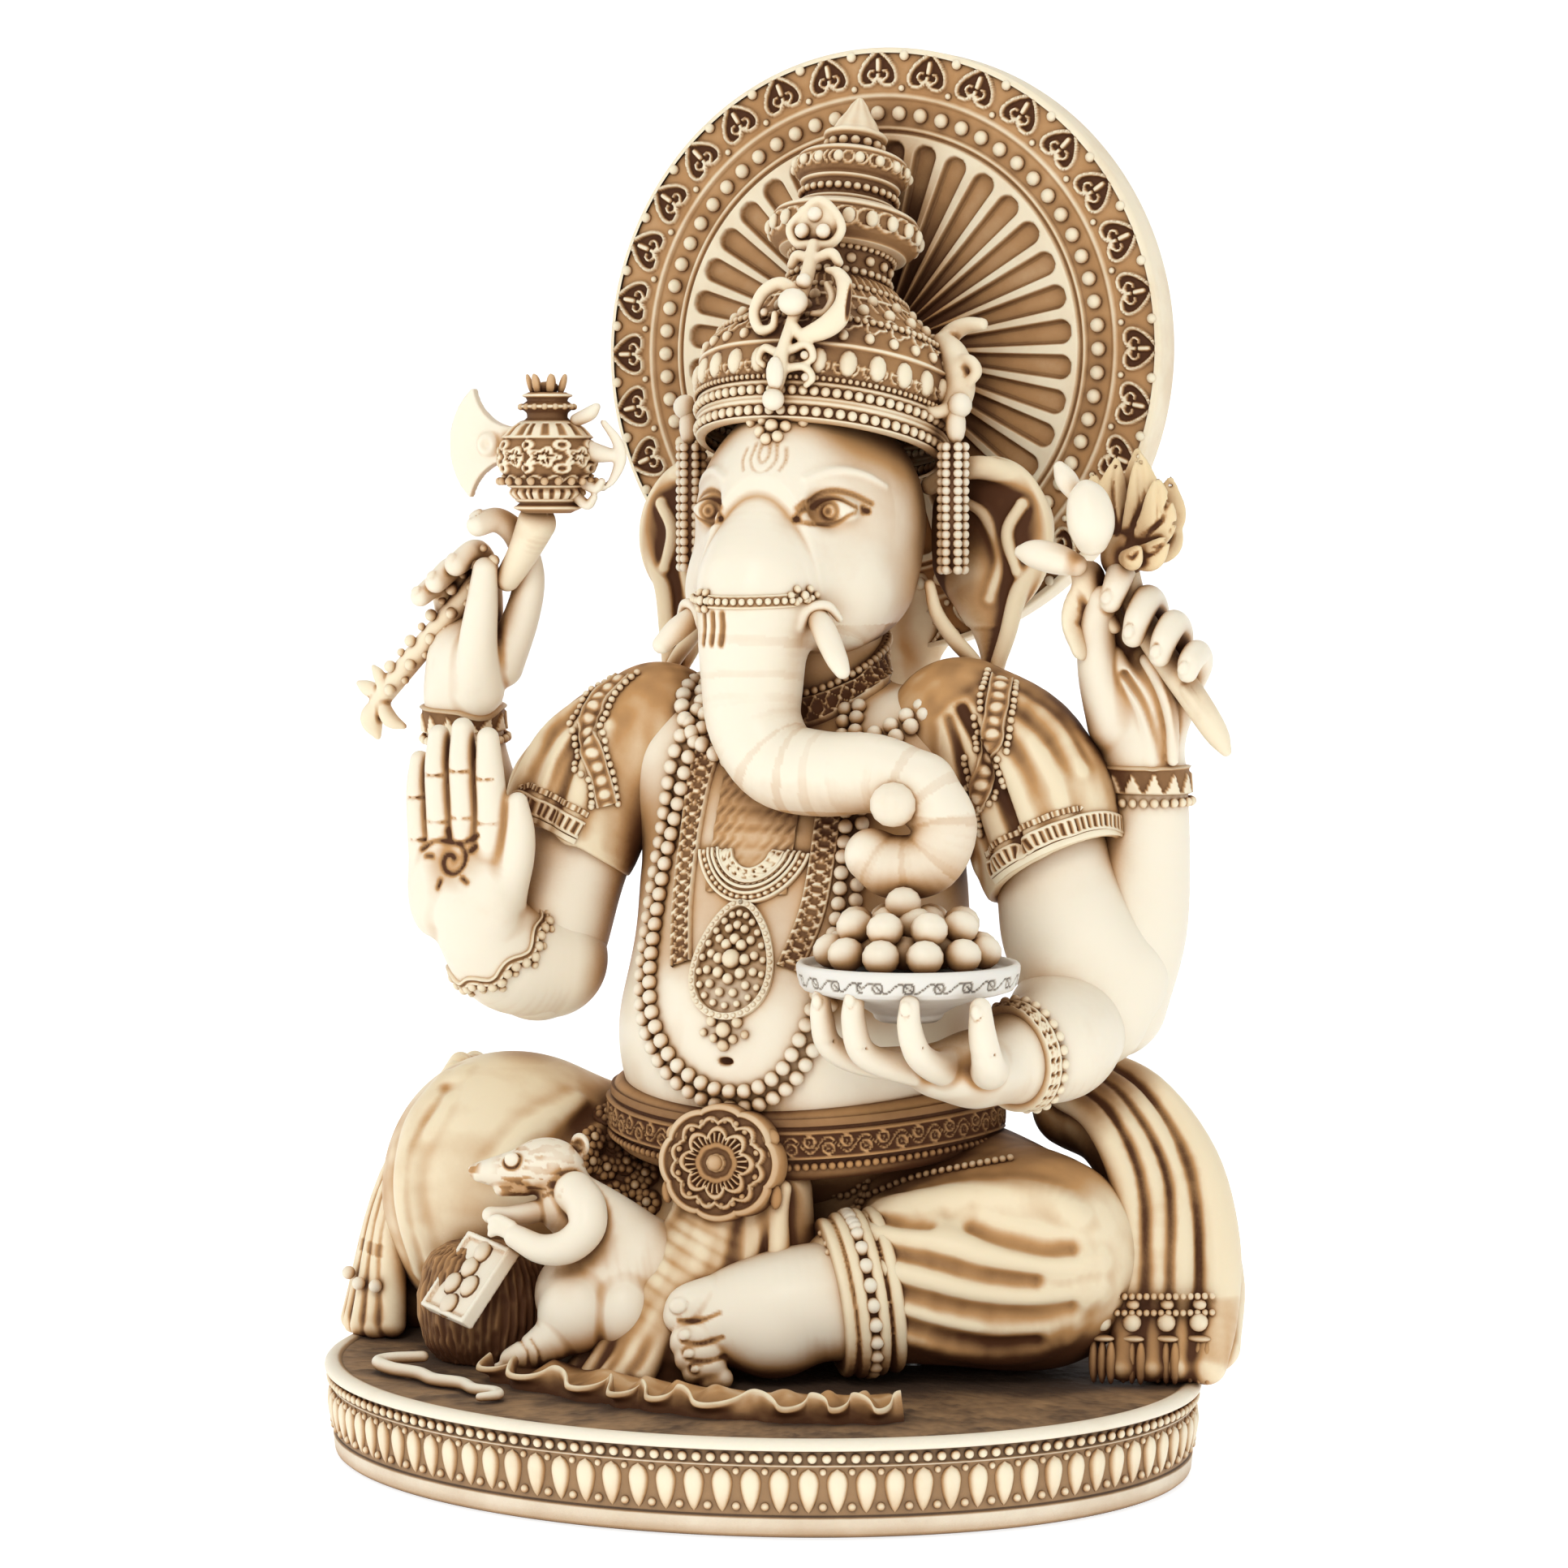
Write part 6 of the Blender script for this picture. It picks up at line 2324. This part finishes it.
def make_lotus():
    """The lotus: stem through the fist, pale buds in front and gold pointed petals behind."""
    clay = Clay((60, 14, 144), (102, 38, 196), 0.5)
    clay.limb(
        [
            (94.6, 26, 150.5, 1.2), (92, 26.5, 154.5, 2.6), (86.5, 27, 162, 3.0), (80, 27.5, 170, 3.0),
            (74, 27, 180, 3.0), (71.5, 26.5, 188, 3.2)
        ],
        1
    )
    clay.limb([(90, 24.4, 158, 0.8), (86, 24.4, 163.5, 1.0)], 0.5)
    clay.limb(
        [(64, 22, 172, 3.2), (62.5, 22, 178, 3.8), (66, 23, 186, 3.6)], 1.4, flat=(0.9, -0.3, 0.1), squeeze=0.45
    )
    clay.limb([(70.5, 24, 176, 1.6), (66.5, 22, 182, 2.2), (64.5, 21, 187, 2.4)], 1.2)
    clay_piece("lotus_stem", clay, relief_resin, ["lotus_stem"], stain=0.42, gain=1.8)

    clay = Clay((52, 8, 180), (98, 48, 222), 0.45)

    def petal(root, tip, width, bend):
        """A pointed leaf from root to tip."""
        root, tip = np.array(root, float), np.array(tip, float)
        half = 0.5 * (root + tip) + np.array(bend, float)
        flat = unit(np.cross(tip - root, np.cross((0.4, -1, 0.2), tip - root)))
        rows = [
            (*root, width * 0.45), (*(0.6 * root + 0.4 * half), width * 0.8), (*half, width),
            (*(0.45 * half + 0.55 * tip), width * 0.62), (*tip, 0.45)
        ]
        clay.limb(rows, 0.35, flat=flat, squeeze=1.15 / width * 1.4)
        line = even(np.array([root + 0.25 * (tip - root), half, tip]), 0.8)
        clay.fold(line + np.array([0.1, -0.2, 0]), 0.5, sink=0.0, blend=0.4, cut=True)

    clay.egg((71.5, 26, 190.5), (4.6, 4.4, 5.0), 1)
    for root, tip, width, bend in (
        ((73, 27, 191), (75, 27, 212), 4.0, (2.0, 0, 0)), ((74.5, 26, 191), (79.6, 25, 207), 4.0, (2.4, 0, -1.4)),
        ((70, 27, 191), (69.4, 28, 211), 3.8, (-1.6, 0, 0)),
        ((69, 27, 191), (64.6, 27, 208), 3.4, (-1.6, 0, -1)), ((73, 29, 191), (72, 33, 213), 4.2, (0, 2, 0)),
        ((75, 29, 192), (79.4, 33, 207), 3.8, (2, 1, -1)),
        ((74, 24, 190), (83, 23, 194.4), 3.0, (0.5, -0.5, -1.6)),
        ((73, 22, 190), (78.6, 18, 192.6), 2.4, (0.5, -0.5, -1.2)), ((69, 30, 191), (65, 37, 206), 3.8, (-1, 2, 0)),
        ((73, 31, 191), (77, 40, 205), 3.8, (1, 2, 0)), ((70, 31, 190), (68, 42, 200), 3.6, (0, 1, -1)),
        ((75, 28, 190), (81, 33, 199), 3.4, (1, 1, -1.5)),
    ):
        petal(root, tip, width, bend=bend)
    clay_piece("lotus_bloom", clay, gold_resin, ["lotus_bloom"], stain=0.12, gain=2.2,
               extra=lambda points: 0.85 * smooth_step(207, 190, points[:, 2]) + 0.45 * (
                   noise(points * np.array([1, 1, 0.4]), 2.0, 44) - 0.4
               ))
    clay = Clay((44, 2, 180), (80, 30, 216), 0.45)
    clay.limb(
        [(69.4, 14, 194.4, 3.6), (69.7, 12.8, 197.6, 4.9), (69.2, 12.8, 201.2, 4.5), (68.6, 13, 203.8, 2.7)], 0.5
    )
    clay.limb([(65, 16, 203.5, 1.8), (62.8, 16.4, 206.4, 2.3), (61, 17, 209, 1.3)], 0.4)
    clay.limb([(64.6, 17.5, 188.8, 2.3), (60.4, 17, 190, 3.2), (56, 16.6, 191, 3.0), (52.8, 16.4, 191.4, 1.5)], 0.4)
    clay_piece("lotus_buds", clay, skin_resin, ["lotus_buds"], stain=0.03, gain=1.0,
               extra=lambda points: 0.7 * np.exp(
                   -(((points[:, 0] - 65.5) / 3.5) ** 2) - ((points[:, 2] - 189) / 3.5) ** 2
               ) + 0.4 * (points[:, 2] < 186))


# ---- mouse -------------------------------------------------------------------------------------------------


def make_mouse():
    """The mouse that leans on a basket and holds out a tray of sweets; the tail lies on the base."""
    clay = Clay((-56, -48, BASE_TOP - 1), (0, 0, 76), 0.42)
    clay.limb([(-15, -20, 41, 9.5), (-23, -23, 39, 11), (-29, -25, 36, 10)], 3)
    clay.limb([(-16, -20, 44, 8), (-24, -24, 50, 8), (-31, -26, 55, 7)], 3)
    clay.egg((-36, -26.5, 63), (7.6, 6.6, 5.8), 2.5, axes=turn((0, 1, 0), 6))
    clay.limb([(-39, -28, 62.4, 5), (-44.5, -30.5, 61.8, 3.6), (-49, -32.4, 61.6, 2.2)], 1.6)
    clay.egg((-49.8, -32.8, 61.9), (1.9, 1.6, 1.5), 0.3)
    clay.limb([(-40, -30, 59, 2.2), (-44.5, -31.6, 58.2, 1.6)], 1.2)
    clay.egg((-41.2, -33.2, 64.8), (1.75, 1.0, 1.6), 0.3)
    clay.egg((-30.5, -23, 67.2), (2.8, 1.3, 2.6), 0.5, axes=turn((0, 0, 1), -25))
    clay.egg((-30.1, -24.4, 67.2), (1.8, 0.9, 1.6), 0.3, cut=True, axes=turn((0, 0, 1), -25))
    clay.limb(
        [
            (-27.5, -31, 58.5, 4.4), (-23.6, -33.5, 56, 4.2), (-22.6, -35.5, 51.8, 3.9), (-26, -37.2, 48.2, 3.6),
            (-31.5, -38.2, 47.4, 3.1), (-37.5, -38.4, 49.6, 2.5)
        ],
        1.0
    )
    for k in range(3):
        clay.limb(
            [
                (-38.5, -38.4, 49.8 + 1.0 * k, 1.2), (-41.4, -38.8, 50.6 + 1.3 * k, 1.0),
                (-43.4, -38.4, 49.8 + 1.4 * k, 0.8)
            ],
            0.25
        )
    clay.limb([(-36, -30, 54, 2.4), (-41, -34, 53, 2.2), (-44.5, -36.5, 53.4, 1.8)], 0.6)
    clay.egg((-27, -31.5, 33.6), (8.2, 7.2, 9.2), 1.2, axes=turn((0, 1, 0), 24))
    clay.egg((-17.5, -28, 34), (7.4, 7.2, 8.4), 1.2)
    clay.limb([(-31, -34.5, 28, 4.6), (-35, -36.5, 25.2, 3.6), (-38.6, -37.6, 23.4, 2.9)], 1.2)
    for k in range(3):
        clay.limb([(-38, -38.8 + 1.6 * k, 22.8, 1.5), (-41.2, -39.6 + 1.7 * k, 22.0, 1.1)], 0.3)
    for u in (-0.4, 0.5):
        clay.groove(
            clay.seen(
                even(
                    np.array([(-35.4 + 3 * u, -39, 28.6), (-33.4 + 3 * u, -39, 25.6), (-33.0 + 3 * u, -39, 22.8)]),
                    0.5
                )
            ),
            0.4
        )
    clay.slab((0, 0, -1), -BASE_TOP + 0.4)
    fur = clay.seen(
        np.array([(x, -34, z) for x, z in ((-40, 67), (-36, 69), (-33, 64), (-38, 60), (-31, 60), (-34, 66))])
    )
    eye = clay.seen(np.array([(-41.4, -34, 64.9)]))

    def extra(points):
        nose = 1.0 * np.exp(-((np.linalg.norm(points - np.array([-50.2, -33, 61.9]), axis=1) / 2.3) ** 4))
        away = np.linalg.norm(points - eye[0], axis=1)
        ring = 0.9 * np.exp(-(((away - 2.0) / 0.5) ** 2)) + 0.8 * np.exp(-((away / 0.55) ** 2))
        stripe = 0.35 * (
            noise(points * np.array([0.6, 1, 2.2]), 1.6, 31) > 0.58
        ) * (points[:, 2] > 57) * (points[:, 0] < -28)
        chin = 0.4 * np.exp(-((np.linalg.norm(points - np.array([-42, -31, 57.5]), axis=1) / 4.5) ** 2))
        under = 0.55 * smooth_step(27, 21.5, points[:, 2]) + 0.3 * smooth_step(-15, -9, points[:, 0])
        speck = 0.18 * np.max([np.exp(-((np.linalg.norm(points - spot, axis=1) / 1.0) ** 2)) for spot in fur], axis=0)
        return nose + ring + stripe + chin + under + speck

    clay_piece("mouse", clay, skin_resin, ["mouse"], stain=0.04, gain=1.4, extra=extra)

    kit = Kit()
    spin = np.linspace(0, 2 * math.pi, 220, endpoint=False)
    profile = np.array(
        [(0.5, 0.0), (10.0, 0.0), (12.5, 3), (14.2, 9), (14.4, 14), (13.2, 19), (11.4, 22.4), (8, 24.6), (0.5, 25.4)]
    )
    run = np.concatenate([[0], np.cumsum(np.hypot(*np.diff(profile, axis=0).T))])
    steps = np.linspace(0, run[-1], 90)
    radii, heights = np.interp(steps, run, profile[:, 0]), np.interp(steps, run, profile[:, 1]) + BASE_TOP - 0.3
    strands = noise(
        np.stack(
            [
                np.outer(np.cos(spin), radii) * 2.4, np.outer(np.sin(spin), radii) * 2.4,
                np.broadcast_to(heights * 0.35, (220, 90))
            ],
            axis=2
        ),
        1.7, 41
    )
    strands = 0.6 * strands + 0.4 * (0.5 + 0.5 * np.sin(spin[:, None] * 46 + 3 * strands))
    reach = radii[None] + 1.3 * strands
    points = np.stack(
        [
            -53.8 + reach * np.cos(spin)[:, None], -21.5 + 0.86 * reach * np.sin(spin)[:, None],
            np.broadcast_to(heights, (220, 90)) + 0 * reach
        ],
        axis=2
    )
    kit.grid(points, np.clip(1.0 - 0.62 * strands, 0, 1), around=True)
    kit_piece("mouse_basket", kit, relief_resin, ["mouse_basket"])

    origin = np.array([-47.0, -44.5, 31.8])
    across, down = unit((-15.1, 9.0, 1.3)), unit((6.7, 9.0, 14.8))
    facing = unit(np.cross(across, down))
    if facing[1] > 0:
        facing = -facing
    wide, long = 17.6, 18.6
    clay = Clay((-76, -48, 20), (-30, -14, 64), 0.42)
    x, y, z = clay.grid()
    def local(axis):
        return (x - origin[0]) * axis[0] + (y - origin[1]) * axis[1] + (z - origin[2]) * axis[2]
    a, b, c = local(across), local(down), local(facing)
    slab = np.maximum(
        np.maximum(np.abs(a - wide / 2) - wide / 2, np.abs(b - long / 2) - long / 2), np.abs(c + 1.4) - 1.6
    )
    hollow = np.maximum(
        np.maximum(np.abs(a - wide / 2) - wide / 2 + 1.1, np.abs(b - long / 2) - long / 2 + 1.1),
        np.abs(c - 0.9) - 1.5
    )
    clay.d = np.clip(np.maximum(slab, -hollow), -8, 8).astype(np.float32)
    clay_piece("mouse_tray", clay, skin_resin, ["mouse_tray"], stain=0.12, gain=1.5)
    kit = Kit()
    for u, v in ((0.5, 0.14), (0.68, 0.38), (0.34, 0.42), (0.55, 0.62), (0.5, 0.84)):
        spot = origin + across * wide * u + down * long * v - facing * 0.4
        shape = np.column_stack([across * 2.5, down * 2.5, facing * 1.3])
        kit.beads([spot], 1.0, 0.1, shape)
        kit.beads([spot - facing * 0.5], 1.0, 0.75, shape * np.array([1.25, 1.25, 0.6]))
    kit_piece("mouse_tray_sweets", kit, skin_resin)

    clay = Clay((-74, -78, BASE_TOP - 1), (-26, -30, 28), 0.42)
    tail = [
        (-60, -38, 22.6, 1.2), (-66, -41, 22.2, 1.3), (-67.4, -44, 21.8, 1.4), (-62, -47.4, 21.5, 1.4),
        (-55, -48.6, 21.3, 1.4), (-49, -52.6, 21.2, 1.35), (-42, -53.6, 21.2, 1.3), (-37, -57.4, 21.1, 1.2),
        (-31.6, -58.4, 21.2, 1.15), (-29.4, -61.4, 21.2, 1.1), (-32, -64, 21.0, 0.9),
    ]
    clay.limb(tail, 0.6)
    clay.slab((0, 0, -1), -BASE_TOP + 0.4)
    clay_piece("mouse_tail", clay, skin_resin, ["mouse_tail"], stain=0.2, gain=1.2)


def make_halo_stem():
    """The stem that carries the halo."""
    low, high = corners("halo_stem")
    clay = Clay(low - 4, high + 4, 0.6)
    centre = (low + high) / 2
    clay.limb(
        [
            (0, low[1] + 12, low[2] + 4, 13), (0, low[1] + 14, low[2] + 22, 10.5), (0, high[1] - 9, high[2] - 22, 10),
            (0, high[1] - 7.5, high[2] - 6, 9.5)
        ],
        3, smooth=4
    )
    clay.limb([(-9, high[1] - 6.5, high[2] - 12, 7), (9, high[1] - 6.5, high[2] - 12, 7)], 3, smooth=0)
    for k in (-1, 0, 1):
        clay.limb(
            [
                (k * 6, high[1] - 2.5, high[2] - 14, 1.6), (k * 5, high[1] - 4, centre[2], 1.8),
                (k * 7, low[1] + 21, low[2] + 8, 1.8)
            ],
            1.2, smooth=4
        )
    for side in (-1, 1):
        clay.limb(
            [(side * 8.6, high[1] - 8, high[2] - 22, 4.2), (side * 8.6, high[1] - 8, high[2] - 3, 4.6)], 3, smooth=0
        )
    clay.slab((0, 1, 0), high[1] + 0.6)
    clay.slab((0, 0, -1), -low[2])
    clay.slab((0, 0, 1), high[2])
    clay_piece("halo_stem", clay, cloth_resin, ["halo_stem"], stain=0.2, gain=1.6)


def steel(name):
    """Bright drawn steel with fine lengthwise streaks."""
    material = bpy.data.materials.new(name)
    material.use_nodes = True
    nodes, links = material.node_tree.nodes, material.node_tree.links
    shader = nodes["Principled BSDF"]
    shader.inputs["Metallic"].default_value = 1.0
    place, streaks, ramp, rough = (
        nodes.new(kind) for kind in (
            "ShaderNodeTexCoord", "ShaderNodeTexNoise", "ShaderNodeValToRGB", "ShaderNodeMapRange"
        )
    )
    stretch = nodes.new("ShaderNodeMapping")
    stretch.inputs["Scale"].default_value = (3000, 3000, 120)
    streaks.inputs["Scale"].default_value = 1.0
    ramp.color_ramp.elements[0].color = (0.33, 0.33, 0.34, 1)
    ramp.color_ramp.elements[1].color = (0.62, 0.61, 0.59, 1)
    rough.inputs["To Min"].default_value, rough.inputs["To Max"].default_value = 0.26, 0.46
    links.new(place.outputs["Object"], stretch.inputs["Vector"])
    links.new(stretch.outputs["Vector"], streaks.inputs["Vector"])
    links.new(streaks.outputs["Fac"], ramp.inputs["Fac"])
    links.new(streaks.outputs["Fac"], rough.inputs["Value"])
    links.new(ramp.outputs["Color"], shader.inputs["Base Color"])
    links.new(rough.outputs["Result"], shader.inputs["Roughness"])
    return material


def make_pins():
    """Chamfered, straight-knurled steel pins: three dowels in the base and two behind the halo."""
    metal = steel("pin_steel")
    for node, radius, spots in (
        ("seat_dowels", 2.5, ((0, 0), (1, 0), (0.5, 1))), ("halo_pins", 1.5, ((0, 0.5), (1, 0.5)))
    ):
        low, high = corners(node)
        length = high[2] - low[2]
        kit = Kit()
        heights = np.concatenate([[0, 0], np.linspace(0.5, length - 0.5, 40), [length, length]])
        radii = np.concatenate([[0.02, radius - 0.5], np.full(40, radius - 0.06), [radius - 0.5, 0.02]])
        for u, v in spots:
            foot = (
                low[0] + radius + u * (high[0] - low[0] - 2 * radius),
                low[1] + radius + v * (high[1] - low[1] - 2 * radius), low[2]
            )
            kit.turned(
                foot, (0, 0, 1), (0, -1, 0), radii, heights, lambda a,
                t: ridge((a / 0.5) % 1 - 0.5, 0.3) * (t > 1) * (t < length - 1), lift=0.06, sides=96
            )
        kit_piece(node, kit, metal, [node])


# ---- camera, lights and floor ------------------------------------------------------------------------------


def look_from(azimuth, distance, height, pitch, yaw, lens):
    """The camera, in degrees, metres and millimetres of lens, looking across the object's axis."""
    turn_to = math.radians(azimuth)
    camera = bpy.data.objects.new("camera", bpy.data.cameras.new("camera"))
    camera.location = (distance * math.sin(turn_to), -distance * math.cos(turn_to), height)
    camera.rotation_euler = (math.radians(90 - pitch), 0, math.radians(azimuth + yaw))
    camera.data.lens = lens
    camera.data.clip_start = 0.05
    camera.data.clip_end = 100
    bpy.context.scene.collection.objects.link(camera)
    bpy.context.scene.camera = camera


def soft_light(name, place, target, size, power, tint=(1, 1, 1)):
    """A square area light at place, in metres, facing target."""
    data = bpy.data.lights.new(name, "AREA")
    data.size = size
    data.energy = power
    data.color = tint
    lamp = bpy.data.objects.new(name, data)
    lamp.location = place
    direction = np.array(target) - np.array(place)
    flat = math.hypot(direction[0], direction[1])
    lamp.rotation_euler = (math.atan2(flat, -direction[2]), 0, math.atan2(-direction[0], direction[1]))
    bpy.context.scene.collection.objects.link(lamp)


def make_studio():
    """A white sweep that curves up behind the idol on every side, a white sky and soft lamps."""
    kit = Kit()
    spin = np.linspace(0, 2 * math.pi, 96, endpoint=False)
    reach = np.array([0.01, 0.4, 1.2, 2.4, 3.0, 3.5, 3.8, 4.0]) * 1000
    rise = np.array([0, 0, 0, 0, 0.05, 0.25, 0.7, 1.6]) * 1000
    sweep = np.stack(
        [np.outer(np.cos(spin), reach), np.outer(np.sin(spin), reach), np.broadcast_to(rise, (96, 8))], axis=2
    )
    kit.grid(sweep, 0.0, around=True)
    floor = build_mesh("studio_sweep", np.vstack(kit.points), [np.vstack(kit.faces)], np.concatenate(kit.wash))
    material = bpy.data.materials.new("studio_paper")
    material.use_nodes = True
    shader = material.node_tree.nodes["Principled BSDF"]
    shader.inputs["Base Color"].default_value = (0.5, 0.5, 0.5, 1)
    shader.inputs["Roughness"].default_value = 0.55
    shader.inputs["Emission Color"].default_value = (1, 1, 1, 1)
    shader.inputs["Emission Strength"].default_value = 0.8
    floor.data.materials.append(material)
    world = bpy.data.worlds.new("sky")
    bpy.context.scene.world = world
    world.use_nodes = True
    world.node_tree.nodes["Background"].inputs["Color"].default_value = (1, 1, 1, 1)
    world.node_tree.nodes["Background"].inputs["Strength"].default_value = 0.4
    soft_light("key", (0.25, -1.15, 0.95), (0, 0, 0.15), 0.45, 5.4, (1, 0.97, 0.92))
    soft_light("fill", (-1.2, -0.4, 0.5), (0, 0, 0.15), 0.8, 1.6)
    soft_light("top", (0.0, 0.25, 1.3), (0, 0, 0.15), 0.7, 3.2)
    bpy.context.scene.view_settings.view_transform = "Standard"


# ---- the idol ----------------------------------------------------------------------------------------------

look_from(azimuth=25.6, distance=0.990, height=0.209, pitch=3.84, yaw=-0.31, lens=108.354)
make_studio()
body = torso_clay()
clay_piece("torso", body, skin_resin, ["torso"], stain=0.02, gain=1.0, extra=torso_tone)
necklaces(body)
make_belt(body)
make_head(head_clay())
make_tusks_and_sweet()
make_ears()
make_crown()
make_crest()
make_side_jewels()
make_halo()
make_base()
make_right_front_arm()
make_right_back_arm()
make_left_back_arm()
make_left_front_arm()
make_plate()
make_sleeves()
legs = make_legs()
bead_loops(legs)
make_foot_and_cuff()
make_pleats()
make_floor_hem()
make_shawls()
make_axe()
make_lotus()
make_mouse()
make_halo_stem()
make_pins()
